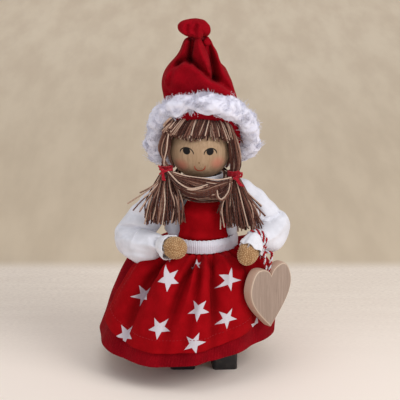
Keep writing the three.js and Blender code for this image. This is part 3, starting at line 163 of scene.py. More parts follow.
def offset_from_run(points, run):
    """Distance of flat points from a smooth run through places, positive on the run's right-hand side."""
    run = smooth_run(run, np.linspace(0, 1, 8 * len(run)))
    best = np.full(points.shape[:-1], 1e9)
    side = np.ones(points.shape[:-1])
    for a, b in zip(run[:-1], run[1:]):
        d = b - a
        t = np.clip(((points - a) @ d) / (d @ d), 0, 1)
        gap = points - (a + t[..., None] * d)
        far = np.linalg.norm(gap, axis=-1)
        nearer = far < best
        cross = d[0] * gap[..., 1] - d[1] * gap[..., 0]
        side = np.where(nearer, np.sign(cross) + (cross == 0), side)
        best = np.minimum(best, far)
    return best * side


def sculpt(points, outward, strokes, front=(0.0, -1.0)):
    """Moves a skin towards or away from the viewer along strokes over the photograph. Each stroke is a run of
    places, its width to the right and to the left in pixels, and its height in millimetres."""
    pixels = photo_pixels(points)
    facing = ease((outward[..., 0] * front[0] + outward[..., 1] * front[1] - 0.05) / 0.5)
    moved = np.zeros(points.shape[:-1])
    for run, right, left, height in strokes:
        off = offset_from_run(pixels, run)
        width = left + (right - left) * ease((off + 1.6) / 3.2)
        moved += height * np.exp(-(off / width) ** 2)
    way = unit(0.2 * outward + np.array([front[0], front[1], 0.3]))
    return points + way * (moved * facing)[..., None]


def wander(points, size, seed):
    """Smooth noise from -1 to 1 at points, with features of about that size."""
    rng = np.random.default_rng(seed)
    total = np.zeros(points.shape[:-1])
    for _ in range(14):
        way = unit(rng.normal(size=3)) * rng.uniform(0.6, 1.5)
        total += np.sin(points @ way * TAU / (2 * size) + rng.uniform(0, TAU))
    return total / 5


# Meshes

def link(obj):
    bpy.context.scene.collection.objects.link(obj)
    return obj


def skin(name, points, wrap=True, uv=None, caps=(False, False), flip=False):
    """A mesh from rows of points in millimetres. wrap joins each row's ends, and caps close the end rows."""
    rows, columns = points.shape[:2]
    verts = (points.reshape(-1, 3) * MM + AXIS).tolist()
    faces, corners = [], []
    for r in range(rows - 1):
        for c in range(columns if wrap else columns - 1):
            n = (c + 1) % columns
            ring = [(r, c, c), (r, n, c + 1), (r + 1, n, c + 1), (r + 1, c, c)]
            if flip:
                ring.reverse()
            faces.append([i * columns + j for i, j, _ in ring])
            corners += [(i, k) for i, _, k in ring]
    for end, closed in ((0, caps[0]), (rows - 1, caps[1])):
        if closed:
            centre = len(verts)
            verts.append((points[end].mean(axis=0) * MM + AXIS).tolist())
            for c in range(columns):
                ring = [(end, c, c), (centre, None, c + 0.5), (end, (c + 1) % columns, c + 1)]
                if (end > 0) != flip:
                    ring.reverse()
                faces.append([i if j is None else i * columns + j for i, j, _ in ring])
                corners += [(end, k) for _, _, k in ring]
    mesh = bpy.data.meshes.new(name)
    mesh.from_pydata(verts, [], faces)
    layer = mesh.uv_layers.new(name="UVMap")
    if uv is not None:
        flat = np.array([uv(i, k) for i, k in corners], dtype=np.float32)
        layer.data.foreach_set("uv", flat.ravel())
    mesh.shade_smooth()
    return link(bpy.data.objects.new(name, mesh))


def mark(piece, name, values):
    """Stores a value at each of a skin's vertices, for its material."""
    stored = np.zeros(len(piece.data.vertices), np.float32)
    stored[:values.size] = values.ravel()
    piece.data.attributes.new(name, "FLOAT", "POINT").data.foreach_set("value", stored)


def dress(piece, material):
    """Makes this the piece's only material."""
    piece.data.materials.clear()
    piece.data.materials.append(material)


def finish(piece, material, body, replaced=()):
    """Gives a piece its material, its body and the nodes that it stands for."""
    dress(piece, material)
    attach(piece, body)
    if replaced:
        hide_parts(*replaced)


def wall(piece, thickness):
    """Gives a skin a wall on its inner side."""
    solid = piece.modifiers.new("wall", "SOLIDIFY")
    solid.thickness = thickness * MM
    solid.offset = -1
    return piece


def bevel(piece, name, width, segments):
    """Rounds a piece's edges."""
    edge = piece.modifiers.new(name, "BEVEL")
    edge.width, edge.segments, edge.limit_method = width * MM, segments, "ANGLE"
    return edge


def strand_frames(points):
    """Directions along a run of points and two across it that never twist."""
    along = unit(np.gradient(points, axis=0))
    across = np.zeros_like(points)
    across[0] = unit(np.cross(along[0], [0.3, 0.2, 1.0]))
    for i in range(1, len(points)):
        across[i] = unit(across[i - 1] - along[i] * (across[i - 1] @ along[i]))
    return along, across, np.cross(along, across)


def tube_grid(path, radii, sides, rings):
    """Rings of a stuffed tube along a path, and its outward directions."""
    t = np.linspace(0, 1, rings)
    centres = smooth_run(path, t)
    radius = smooth_run(np.asarray(radii, float)[:, None], t)[:, 0]
    _, across, up = strand_frames(centres)
    turn = round_angles(sides)
    out = across[:, None] * np.cos(turn)[None, :, None] + up[:, None] * np.sin(turn)[None, :, None]
    return centres[:, None] + out * radius[:, None, None], out


def egg_grid(centre, ways, sizes, rows, columns, pole):
    """Rows of points over an egg with half sizes along three ways, from one pole to the other."""
    polar = np.linspace(pole, math.pi - pole, rows)[:, None]
    turn = round_angles(columns)[None]
    shares = (np.cos(polar) + 0 * turn, np.sin(polar) * np.cos(turn), np.sin(polar) * np.sin(turn))
    return centre + sum(way * (size * share)[..., None] for way, size, share in zip(ways, sizes, shares))


# Geometry Nodes and materials share these

def put(tree, kind, how=None, args=(), **inputs):
    """Adds a node. how sets its properties. args and inputs set or link its inputs by place or by name."""
    node = tree.nodes.new(kind)
    for key, value in (how or {}).items():
        setattr(node, key, value)
    pairs = list(enumerate(args)) + [(key.replace("_", " "), value) for key, value in inputs.items()]
    for key, value in pairs:
        if value is None:
            continue
        if isinstance(value, bpy.types.NodeSocket):
            tree.links.new(value, node.inputs[key])
        else:
            node.inputs[key].default_value = value
    return node


def calculate(tree, operation, *values):
    return put(tree, "ShaderNodeMath", {"operation": operation}, values).outputs[0]


def times(tree, first, second):
    return calculate(tree, "MULTIPLY", first, second)


def distance(tree, x, y):
    return calculate(tree, "SQRT", calculate(tree, "ADD", times(tree, x, x), times(tree, y, y)))


def clamped(tree, value, low, high, to_low=0.0, to_high=1.0):
    """A soft step from to_low to to_high as the value goes from low to high."""
    node = put(tree, "ShaderNodeMapRange", {"interpolation_type": "SMOOTHSTEP"},
               (value, low, high, to_low, to_high))
    return node.outputs[0]


def mixed(tree, share, first, second, blend="MIX"):
    """The first colour, with a share of the second mixed in."""
    node = put(tree, "ShaderNodeMix", {"data_type": "RGBA", "blend_type": blend})
    for socket, value in ((node.inputs[0], share), (node.inputs[6], first), (node.inputs[7], second)):
        if isinstance(value, bpy.types.NodeSocket):
            tree.links.new(value, socket)
        else:
            socket.default_value = value if isinstance(value, float) else (*value, 1.0)
    return node.outputs[2]


class Finish:
    """A material being built: its tree, its shader and the coordinates that it reads."""

    def __init__(self, name, roughness=0.8, sheen=0.0, specular=0.3, sheen_tint=(1, 1, 1)):
        self.material = bpy.data.materials.new(name)
        self.material.use_nodes = True
        self.tree = self.material.node_tree
        self.shader = self.tree.nodes["Principled BSDF"]
        settings = {"Roughness": roughness, "Specular IOR Level": specular}
        if sheen:
            settings |= {"Sheen Weight": sheen, "Sheen Roughness": 0.4, "Sheen Tint": (*sheen_tint, 1)}
        for key, value in settings.items():
            self.shader.inputs[key].default_value = value
        self.place = self.put("ShaderNodeTexCoord").outputs["Object"]
        self.bumped = None

    def put(self, *settings, **inputs):
        return put(self.tree, *settings, **inputs)

    def calculate(self, operation, *values):
        return calculate(self.tree, operation, *values)

    def times(self, first, second):
        return times(self.tree, first, second)

    def clamped(self, *values):
        return clamped(self.tree, *values)

    def mixed(self, *values):
        return mixed(self.tree, *values)

    def noise(self, size_mm, detail=3.0, place=None, roughness=0.55, distortion=0.0):
        node = self.put("ShaderNodeTexNoise", Vector=place or self.place, Scale=1 / (size_mm * MM),
                        Detail=detail,
                        Roughness=roughness, Distortion=distortion)
        return node.outputs["Fac"]

    def colour(self, value):
        self.tree.links.new(value, self.shader.inputs["Base Color"])

    def roughness(self, value):
        self.tree.links.new(value, self.shader.inputs["Roughness"])

    def bump(self, height, depth_mm, strength=1.0):
        node = self.put("ShaderNodeBump", Strength=strength, Distance=depth_mm * MM, Height=height)
        if self.bumped:
            self.tree.links.new(self.bumped, node.inputs["Normal"])
        self.bumped = node.outputs[0]
        self.tree.links.new(self.bumped, self.shader.inputs["Normal"])


def stretched(look, factors):
    """The object's coordinates, stretched by a factor along each axis."""
    return look.put("ShaderNodeMapping", Vector=look.place, Scale=factors).outputs[0]


def cloth_uv(look):
    """The piece's own map, in metres round and along."""
    uv = look.put("ShaderNodeTexCoord").outputs["UV"]
    split = look.put("ShaderNodeSeparateXYZ", args=(uv,))
    return uv, split.outputs[0], split.outputs[1]


def weave(look, u, v, pitch_mm):
    """Over and under threads of a plain weave, from 0 to 1."""
    turns = TAU / (pitch_mm * MM)
    a = look.calculate("SINE", look.times(u, turns))
    b = look.calculate("SINE", look.times(v, turns))
    return look.calculate("MULTIPLY_ADD", look.times(a, b), 0.5, 0.5)


# Materials

def felt(name, base, dark, ribs=False):
    look = Finish(name, 0.95, sheen=0.08, specular=0.06, sheen_tint=(1, 0.2, 0.2))
    mottle = look.noise(9, 3)
    fuzz = look.noise(0.55, 4)
    fibre = look.noise(0.9, 3, stretched(look, (1, 1, 4)), distortion=2.0)
    colour = look.mixed(look.clamped(mottle, 0.3, 0.7), dark, base)
    light = tuple(min(1, c * 1.5 + 0.012) for c in base)
    colour = look.mixed(look.clamped(fuzz, 0.5, 0.8, 0.0, 0.5), colour, light)
    # Painted shade where the piece marks hollows in the felt.
    look.colour(darkened_by_fold_shade(look, colour, 0.5))
    look.bump(fibre, 0.25, 0.5)
    look.bump(fuzz, 0.18, 0.8)
    if ribs:
        _, u, v = cloth_uv(look)
        rib = look.calculate("SINE", look.times(u, TAU / 0.0016))
        near_hem = look.clamped(v, 0.020, 0.004)
        look.bump(look.times(rib, near_hem), 0.12, 0.7)
    return look.material


def star_mask_group():
    """1 inside a five-pointed star round a centre on the cloth, and 0 outside."""
    group = bpy.data.node_groups.new("printed star", "ShaderNodeTree")
    for name in ("U", "V", "Centre U", "Centre V", "Turn", "Stretch", "Radius"):
        group.interface.new_socket(name=name, in_out="INPUT", socket_type="NodeSocketFloat")
    group.interface.new_socket(name="Mask", in_out="OUTPUT", socket_type="NodeSocketFloat")
    given = group.nodes.new("NodeGroupInput").outputs
    x = times(group, calculate(group, "SUBTRACT", given["U"], given["Centre U"]), given["Stretch"])
    y = calculate(group, "SUBTRACT", given["V"], given["Centre V"])
    reach = distance(group, x, y)
    angle = calculate(group, "ADD", calculate(group, "ARCTAN2", x, y), given["Turn"])
    fifth = TAU / 5
    folded = calculate(group, "ABSOLUTE", calculate(group, "WRAP", angle, fifth / 2, -fifth / 2))
    across = times(group, reach, calculate(group, "SINE", folded))
    up = times(group, reach, calculate(group, "COSINE", folded))
    # The edge runs from the tip at the full radius to the inner corner at 0.4 of it.
    inner = 0.40
    edge_x, edge_y = inner * math.sin(fifth / 2), inner * math.cos(fifth / 2) - 1
    length = math.hypot(edge_x, edge_y)
    beyond = times(group, calculate(group, "SUBTRACT", up, given["Radius"]), edge_x / length)
    beyond = calculate(group, "SUBTRACT", beyond, times(group, across, edge_y / length))
    soft_edge = 0.06 * MM
    mask = clamped(group, beyond, -soft_edge, soft_edge, 1.0, 0.0)
    out = group.nodes.new("NodeGroupOutput")
    group.links.new(mask, out.inputs["Mask"])
    return group


def darkened_by_fold_shade(look, colour, strength=0.8):
    """The colour with painted shade, deeper where the piece's attribute says that the cloth folds inwards."""
    crease = look.put("ShaderNodeAttribute", {"attribute_name": "crease"}).outputs["Fac"]
    deep = look.mixed(1.0, colour, (0.42, 0.30, 0.34), "MULTIPLY")
    return look.mixed(look.times(crease, strength), colour, deep)


def cotton(name, stars=()):
    """Red cotton, with stars as star_places gives them."""
    look = Finish(name, 0.85, specular=0.06)
    _, u, v = cloth_uv(look)
    threads = weave(look, look.times(u, APRON_MAP_RADIUS) if stars else u, v, 0.42)
    red = look.mixed(look.clamped(look.noise(6, 3), 0.3, 0.7), (0.30, 0.0012, 0.004), (0.37, 0.002, 0.006))
    red = look.mixed(look.times(threads, 0.22), red, (0.20, 0.001, 0.003))
    if stars:
        group = star_mask_group()
        mask = None
        for centre_u, centre_v, turn, stretch in stars:
            radius = STAR_RADIUS * (1 if centre_v > GATHERED_LENGTH else GATHERED_STAR) * MM
            values = (u, v, centre_u, centre_v, turn, stretch, radius)
            star = look.put("ShaderNodeGroup", {"node_tree": group}, values).outputs[0]
            mask = star if mask is None else look.calculate("MAXIMUM", mask, star)
        ink = look.mixed(look.times(threads, 0.3), (0.66, 0.63, 0.68), (0.50, 0.42, 0.47))
        worn = look.clamped(look.noise(0.9, 3), 0.25, 0.40, 0.75, 1.0)
        red = look.mixed(look.times(mask, worn), red, ink)
    # Painted shade where the piece marks fold valleys and gathers in the cotton.
    look.colour(darkened_by_fold_shade(look, red))
    look.bump(threads, 0.05, 0.6)
    look.bump(look.noise(2.2, 3), 0.12, 0.35)
    return look.material


def white_knit(name, tint=(0.80, 0.80, 0.86)):
    look = Finish(name, 0.9, sheen=0.35, specular=0.15)
    soft = look.noise(7, 2)
    fibre = look.noise(0.5, 4)
    rib = look.noise(0.8, 2, stretched(look, (1, 1, 0.25)))
    shade = tuple(c * 0.9 for c in tint)
    look.colour(look.mixed(look.clamped(soft, 0.35, 0.65), shade, tint))
    look.bump(rib, 0.12, 0.4)
    look.bump(fibre, 0.1, 0.5)
    return look.material


def ribbon_cloth():
    look = Finish("ribbed white ribbon", 0.55, sheen=0.2, specular=0.35)
    _, u, v = cloth_uv(look)
    rib = look.calculate("SINE", look.times(u, TAU / 0.0011))
    edge = look.clamped(look.calculate("ABSOLUTE", look.calculate("SUBTRACT", v, 0.004)), 0.0032, 0.0036)
    # Painted shade: the grooves between the ribs are darkened.
    groove_shade = look.clamped(rib, -1.0, -0.2, 1.0, 0.0)
    colour = look.mixed(look.times(groove_shade, 0.15), (0.80, 0.79, 0.88), (0.62, 0.60, 0.72))
    look.colour(look.mixed(look.times(edge, 0.4), colour, (0.86, 0.85, 0.9)))
    look.bump(rib, 0.12, 0.8)
    look.bump(look.noise(0.3, 2), 0.03, 0.5)
    return look.material


def yarn(name, shades, twist_mm=2.4, roughness=0.85, sheen=0.2, depth=0.75):
    """Twisted yarn that reads the attributes 'turn' and 'shade' of its tree. shades run from place 0 to 1."""
    look = Finish(name, roughness, sheen=sheen, specular=0.2)
    turn = look.put("ShaderNodeAttribute", {"attribute_name": "turn"}).outputs["Vector"]
    shade = look.put("ShaderNodeAttribute", {"attribute_name": "shade"}).outputs["Fac"]
    split = look.put("ShaderNodeSeparateXYZ", args=(turn,))
    phase = look.times(split.outputs[2], TAU / (twist_mm * MM))
    ply = look.calculate("ADD",
                 look.times(split.outputs[0], look.calculate("SINE", phase)),
                 look.times(split.outputs[1], look.calculate("COSINE", phase)))
    ramp = look.put("ShaderNodeValToRGB", args=(shade,))
    ramp.color_ramp.interpolation = "LINEAR"
    stops = ramp.color_ramp.elements
    while len(stops) < len(shades):
        stops.new(0.5)
    for stop, (place, colour) in zip(stops, shades):
        stop.position = place
        stop.color = (*colour, 1)
    # Painted shade: the grooves between the plies are darkened; the mottle after it darkens at random.
    groove_shade = look.clamped(ply, -1.0, -0.1, 1.0, 0.0)
    mottle = look.noise(1.1, 3)
    darker = look.mixed(1.0, ramp.outputs[0], (0.45, 0.42, 0.40), "MULTIPLY")
    colour = look.mixed(look.times(groove_shade, depth), ramp.outputs[0], darker)
    colour = look.mixed(look.clamped(mottle, 0.45, 0.75, 0.0, 0.47 * depth), colour, darker)
    look.colour(colour)
    look.bump(ply, 0.14, 0.3 + 0.66 * depth)
    look.bump(look.noise(0.25, 2), 0.05, 0.5)
    return look.material


def fur_white():
    look = Finish("white fur strands", 0.95, sheen=0.4, specular=0.1)
    tuft = look.noise(5, 2)
    look.colour(look.mixed(look.clamped(tuft, 0.35, 0.65), (0.80, 0.795, 0.90), (0.87, 0.865, 0.97)))
    look.bump(look.noise(0.6, 3), 0.3, 0.6)
    return look.material


def wood(name, pale, dark, grain=(1, 1, 0.06), size_mm=1.3, roughness=0.6):
    """Bare wood with its grain along the axis that is stretched least."""
    look = Finish(name, roughness, specular=0.12)
    lines = look.noise(size_mm, 5, stretched(look, grain), 0.65, 0.4)
    broad = look.noise(size_mm * 5, 2, stretched(look, grain), 0.5, 0.8)
    pores = look.noise(size_mm * 0.35, 2, stretched(look,
                                                    tuple(g
                                                          * (1 if g == max(grain) else 0.7) for g in grain)))
    colour = look.mixed(look.clamped(lines, 0.35, 0.7), dark, pale)
    colour = look.mixed(look.clamped(broad, 0.4, 0.65, 0.0, 0.4), colour, dark)
    colour = look.mixed(look.clamped(pores, 0.62, 0.72, 0.0, 0.5), colour, tuple(c * 0.6 for c in dark))
    look.bump(lines, 0.08, 0.35)
    look.bump(pores, 0.04, 0.3)
    return look, colour


def birch():
    look, colour = wood("raw birch", (0.62, 0.45, 0.28), (0.48, 0.32, 0.18))
    look.colour(colour)
    return look.material


def circle_through(a, b, c):
    """Centre and radius of the circle through three flat points."""
    ax, ay, bx, by, cx, cy = *a, *b, *c
    d = 2 * (ax * (by - cy) + bx * (cy - ay) + cx * (ay - by))
    ux = ((ax**2 + ay**2) * (by - cy) + (bx**2 + by**2) * (cy - ay) + (cx**2 + cy**2) * (ay - by)) / d
    uy = ((ax**2 + ay**2) * (cx - bx) + (bx**2 + by**2) * (ax - cx) + (cx**2 + cy**2) * (bx - ax)) / d
    return ux, uy, math.hypot(ax - ux, ay - uy)


def face_wood():
    """The ball head's turned wood with its painted eyes, nose, mouth and cheeks, laid out across and up."""
    look, colour = wood("painted face on turned wood", (0.49, 0.335, 0.215), (0.38, 0.25, 0.15),
                        (1, 1, 0.05), 1.1)
    centre = AXIS / MM + HEAD
    split = look.put("ShaderNodeSeparateXYZ", args=(look.place,))
    x = look.calculate("MULTIPLY_ADD", split.outputs[0], 1 / MM, -float(centre[0]))
    z = look.calculate("MULTIPLY_ADD", split.outputs[2], 1 / MM, -float(centre[2]))
    front = look.clamped(split.outputs[1], float(AXIS[1]) - 0.006, float(AXIS[1]) - 0.004, 1.0, 0.0)

    def across_up(px, py):
        p = on_ball(px, py, HEAD_RADIUS) - HEAD
        return float(p[0]), float(p[2])

    def far_from(cx, cz):
        return distance(look.tree, look.calculate("SUBTRACT", x, cx), look.calculate("SUBTRACT", z, cz))

    def off(value, middle):
        return look.calculate("ABSOLUTE", look.calculate("SUBTRACT", value, middle))

    def spot(px, py, reach, soft):
        return look.clamped(far_from(*across_up(px, py)), reach - soft, reach + soft, 1.0, 0.0)

    def arc(ends, width=0.24):
        a, b, c = (across_up(*p) for p in ends)
        cx, cz, radius = circle_through(a, b, c)
        line = look.clamped(off(far_from(cx, cz), radius), width, width + 0.12, 1.0, 0.0)
        low, high = min(a[0], c[0]), max(a[0], c[0])
        left = look.clamped(x, low - 0.1, low + 0.1)
        right = look.clamped(x, high - 0.1, high + 0.1, 1.0, 0.0)
        near = look.clamped(off(z, b[1]), 3.2, 3.6, 1.0, 0.0)
        return look.times(look.times(line, near), look.times(left, right))

    for cheek in ((181.5, 165.3), (217.6, 163.2)):
        colour = look.mixed(look.times(spot(*cheek, 3.2, 2.4), 0.6), colour, (0.60, 0.185, 0.13))
    ink = spot(186.5, 150.9, 2.05, 0.14)
    for stroke in (spot(210.1, 151.7, 2.05, 0.14),
                   arc(((179.8, 155.0), (186.6, 147.6), (193.8, 154.6))),
                   arc(((203.8, 155.6), (210.4, 148.4), (217.0, 154.8)))):
        ink = look.calculate("MAXIMUM", ink, stroke)
    colour = look.mixed(look.times(ink, front), colour, (0.012, 0.010, 0.010))
    mouth = arc(((194.4, 166.0), (200.0, 170.8), (205.4, 166.0)))
    colour = look.mixed(look.times(mouth, front), colour, (0.46, 0.04, 0.025))
    nose = look.times(spot(199.1, 163.0, 0.38, 0.12), 0.9)
    look.colour(look.mixed(nose, colour, (0.12, 0.05, 0.02)))
    return look.material


def black_paint():
    look = Finish("black painted wood", 0.42, specular=0.45)
    patch = look.noise(6, 3)
    grain = look.noise(1.2, 4, stretched(look, (1, 0.12, 1)))
    edge = look.put("ShaderNodeNewGeometry").outputs["Pointiness"]
    worn = look.times(look.clamped(edge, 0.52, 0.60), look.clamped(patch, 0.5, 0.65))
    black = look.mixed(look.clamped(patch, 0.3, 0.7), (0.008, 0.008, 0.009), (0.018, 0.017, 0.018))
    look.colour(look.mixed(look.times(worn, 0.5), black, (0.10, 0.07, 0.05)))
    look.roughness(look.clamped(patch, 0.3, 0.7, 0.35, 0.55))
    look.bump(grain, 0.06, 0.4)
    return look.material


def knit_cover(name, low, high):
    look = Finish(name, 0.92, sheen=0.2, specular=0.1)
    tone = look.noise(3, 3)
    fibre = look.noise(0.3, 3)
    colour = look.mixed(look.clamped(tone, 0.3, 0.7), low, high)
    look.colour(look.mixed(look.clamped(fibre, 0.5, 0.8, 0.0, 0.5), colour,
                           tuple(min(1, 1.25 * c) for c in high)))
    look.bump(fibre, 0.08, 0.6)
    return look.material


def wire_steel():
    look = Finish("annealed wire", 0.38, specular=0.5)
    look.shader.inputs["Metallic"].default_value = 1.0
    streak = look.noise(0.8, 3, stretched(look, (1, 1, 0.3)))
    look.colour(look.mixed(streak, (0.34, 0.34, 0.36), (0.58, 0.58, 0.6)))
    look.roughness(look.clamped(streak, 0.3, 0.7, 0.3, 0.5))
    look.bump(streak, 0.02, 0.4)
    return look.material


def wadding_fibre():
    look = Finish("loose wadding", 1.0, sheen=0.3, specular=0.1)
    fibre = look.noise(0.8, 5, distortion=3.0)
    look.colour(look.mixed(fibre, (0.70, 0.69, 0.66), (0.90, 0.89, 0.86)))
    look.bump(fibre, 0.4, 0.8)
    return look.material


# Trees that grow yarn, fur, loops and stitches

def new_tree(name, numbers):
    """A Geometry Nodes tree with a geometry and a material in, these named numbers, and a geometry out."""
    group = bpy.data.node_groups.new(name, "GeometryNodeTree")
    group.interface.new_socket(name="Geometry", in_out="INPUT", socket_type="NodeSocketGeometry")
    group.interface.new_socket(name="Material", in_out="INPUT", socket_type="NodeSocketMaterial")
    for key, value in numbers.items():
        kind = "NodeSocketInt" if isinstance(value, int) else "NodeSocketFloat"
        socket = group.interface.new_socket(name=key, in_out="INPUT", socket_type=kind)
        socket.default_value = value
    group.interface.new_socket(name="Geometry", in_out="OUTPUT", socket_type="NodeSocketGeometry")
    return group, group.nodes.new("NodeGroupInput").outputs


def end_tree(group, given, geometry):
    """Every tree ends in Realize Instances, smooth faces and Set Material."""
    real = put(group, "GeometryNodeRealizeInstances", args=(geometry,)).outputs[0]
    smooth = put(group, "GeometryNodeSetShadeSmooth", args=(real,)).outputs[0]
    last = put(group, "GeometryNodeSetMaterial", Geometry=smooth, Material=given["Material"]).outputs[0]
    group.links.new(last, group.nodes.new("NodeGroupOutput").inputs[0])
    return group


def held(group, geometry, value, kind, domain="POINT"):
    """Captures a value on a geometry, and returns both."""
    node = group.nodes.new("GeometryNodeCaptureAttribute")
    node.domain = domain
    node.capture_items.new(kind, "Value")
    group.links.new(geometry, node.inputs[0])
    group.links.new(value, node.inputs[1])
    return node.outputs[0], node.outputs[1]


def yarn_tree():
    group, given = new_tree("yarn from curves", {"Thickness": 0.0009, "Sides": 6, "Seed": 1})
    length = put(group, "GeometryNodeSplineParameter").outputs["Length"]
    curve, along = held(group, given["Geometry"], length, "FLOAT")
    pick = put(group, "FunctionNodeRandomValue", {"data_type": "FLOAT"}, Seed=given["Seed"]).outputs[1]
    curve, shade = held(group, curve, pick, "FLOAT", "CURVE")
    half = times(group, given["Thickness"], 0.5)
    ring = put(group, "GeometryNodeCurvePrimitiveCircle", Resolution=given["Sides"], Radius=half).outputs[0]
    place = put(group, "GeometryNodeInputPosition").outputs[0]
    ring, round_it = held(group, ring, place, "VECTOR")
    tube = put(group, "GeometryNodeCurveToMesh", Curve=curve, Profile_Curve=ring, Fill_Caps=True).outputs[0]
    flat = put(group, "ShaderNodeVectorMath", {"operation": "NORMALIZE"}, (round_it,)).outputs[0]
    split = put(group, "ShaderNodeSeparateXYZ", args=(flat,))
    cos, sin = split.outputs[0], split.outputs[1]
    double_cos = calculate(group, "SUBTRACT", times(group, cos, cos), times(group, sin, sin))
    double_sin = times(group, times(group, cos, sin), 2.0)
    turn = put(group, "ShaderNodeCombineXYZ", args=(double_cos, double_sin, along)).outputs[0]
    stored = put(group, "GeometryNodeStoreNamedAttribute", {"data_type": "FLOAT_VECTOR"}, Geometry=tube,
                 Name="turn", Value=turn).outputs[0]
    stored = put(group, "GeometryNodeStoreNamedAttribute", {"data_type": "FLOAT"}, Geometry=stored,
                 Name="shade", Value=shade).outputs[0]
    return end_tree(group, given, stored)


def fur_tree():
    """Curved tapering hairs over a base, leaning and curling together in soft tufts."""
    group, given = new_tree("fur over a base", {
        "Hairs per square metre": 1.0e6, "Hair length": 0.005, "Hair thickness": 0.0003, "Lean": 0.9,
        "Tuft size": 0.006, "Seed": 1})
    points = put(group, "GeometryNodeDistributePointsOnFaces", Mesh=given["Geometry"],
                 Density=given["Hairs per square metre"], Seed=given["Seed"])
    hair = put(group, "GeometryNodeCurvePrimitiveBezierSegment", Resolution=2,
               Start=(0, 0, 0), Start_Handle=(0, 0, 0.5), End_Handle=(0.2, 0.0, 0.95),
               End=(0.45, 0.05, 1.05)).outputs[0]
    factor = put(group, "GeometryNodeSplineParameter").outputs["Factor"]
    taper = calculate(group, "SUBTRACT", 1.0, times(group, calculate(group, "POWER", factor, 2.0), 0.85))
    hair = put(group, "GeometryNodeSetCurveRadius", Curve=hair, Radius=taper).outputs[0]
    thin = calculate(group, "DIVIDE", given["Hair thickness"], given["Hair length"])
    ring = put(group, "GeometryNodeCurvePrimitiveCircle", Resolution=3,
               Radius=times(group, thin, 0.5)).outputs[0]
    hair = put(group, "GeometryNodeCurveToMesh", Curve=hair, Profile_Curve=ring).outputs[0]
    place = put(group, "GeometryNodeInputPosition").outputs[0]
    scale = calculate(group, "DIVIDE", 1.0, given["Tuft size"])
    swirl = put(group, "ShaderNodeTexNoise", Vector=place, Scale=scale, Detail=0.5).outputs["Color"]
    lean = put(group, "ShaderNodeVectorMath", {"operation": "SUBTRACT"}, (swirl, (0.5, 0.5, 0.5))).outputs[0]
    lean = put(group, "ShaderNodeVectorMath", {"operation": "MULTIPLY"}, (lean, (4.0, 4.0, 16.0))).outputs[0]
    lean = put(group, "ShaderNodeVectorMath", {"operation": "SCALE"}, (lean,),
               Scale=given["Lean"]).outputs[0]
    stray = put(group, "FunctionNodeRandomValue", {"data_type": "FLOAT_VECTOR"},
                ((-0.3, -0.3, -0.8), (0.3, 0.3, 0.8)),
                Seed=given["Seed"]).outputs[0]
    both = put(group, "ShaderNodeVectorMath", {"operation": "ADD"}, (lean, stray)).outputs[0]
    turn = put(group, "FunctionNodeEulerToRotation", args=(both,)).outputs[0]
    rotation = put(group, "FunctionNodeRotateRotation", {"rotation_space": "LOCAL"},
                   Rotation=points.outputs["Rotation"],
                   Rotate_By=turn).outputs[0]
    size = put(group, "FunctionNodeRandomValue", {"data_type": "FLOAT"}, Seed=7)
    size.inputs[2].default_value = 0.6
    size.inputs[3].default_value = 1.25
    grown_size = times(group, size.outputs[1], given["Hair length"])
    hairs = put(group, "GeometryNodeInstanceOnPoints", Points=points.outputs["Points"], Instance=hair,
                Rotation=rotation, Scale=grown_size).outputs[0]
    return end_tree(group, given, hairs)


def loop_tree():
    """Small knit loops set evenly over a base."""
    group, given = new_tree("knit loops over a base", {"Spacing": 0.0009, "Loop size": 0.0005, "Seed": 1})
    points = put(group, "GeometryNodeDistributePointsOnFaces", {"distribute_method": "POISSON"},
                 Mesh=given["Geometry"], Distance_Min=given["Spacing"], Density_Max=3.0e6,
                 Seed=given["Seed"])
    loop = put(group, "GeometryNodeMeshIcoSphere", Radius=1.0, Subdivisions=1).outputs[0]
    spin = put(group, "FunctionNodeRandomValue", {"data_type": "FLOAT_VECTOR"},
               ((-0.3, -0.3, -3.14), (0.3, 0.3, 3.14)),
               Seed=given["Seed"]).outputs[0]
    turn = put(group, "FunctionNodeRotateRotation", {"rotation_space": "LOCAL"},
               Rotation=points.outputs["Rotation"],
               Rotate_By=put(group, "FunctionNodeEulerToRotation", args=(spin,)).outputs[0]).outputs[0]
    flat = put(group, "ShaderNodeCombineXYZ", args=(
        given["Loop size"], times(group, given["Loop size"], 0.7),
        times(group, given["Loop size"], 0.75))).outputs[0]
    loops = put(group, "GeometryNodeInstanceOnPoints", Points=points.outputs["Points"], Instance=loop,
                Rotation=turn, Scale=flat).outputs[0]
    return end_tree(group, given, loops)


def stitch_tree():
    """Short stitches at even steps along a curve."""
    group, given = new_tree("stitches along a curve", {"Step": 0.0021, "Stitch length": 0.0013,
                                                       "Thickness": 0.0003})
    curve = put(group, "GeometryNodeResampleCurve", {"mode": "LENGTH"}, Curve=given["Geometry"],
                Length=given["Step"]).outputs[0]
    points = put(group, "GeometryNodeCurveToPoints", {"mode": "EVALUATED"}, Curve=curve)
    stitch = put(group, "GeometryNodeMeshIcoSphere", Radius=0.5, Subdivisions=2).outputs[0]
    size = put(group, "ShaderNodeCombineXYZ", args=(given["Thickness"], given["Thickness"],
                                                    given["Stitch length"]))
    stitches = put(group, "GeometryNodeInstanceOnPoints", Points=points.outputs[0], Instance=stitch,
                   Rotation=points.outputs["Rotation"], Scale=size.outputs[0]).outputs[0]
    return end_tree(group, given, stitches)


TREES = {"yarn": yarn_tree(), "fur": fur_tree(), "loops": loop_tree(), "stitches": stitch_tree()}


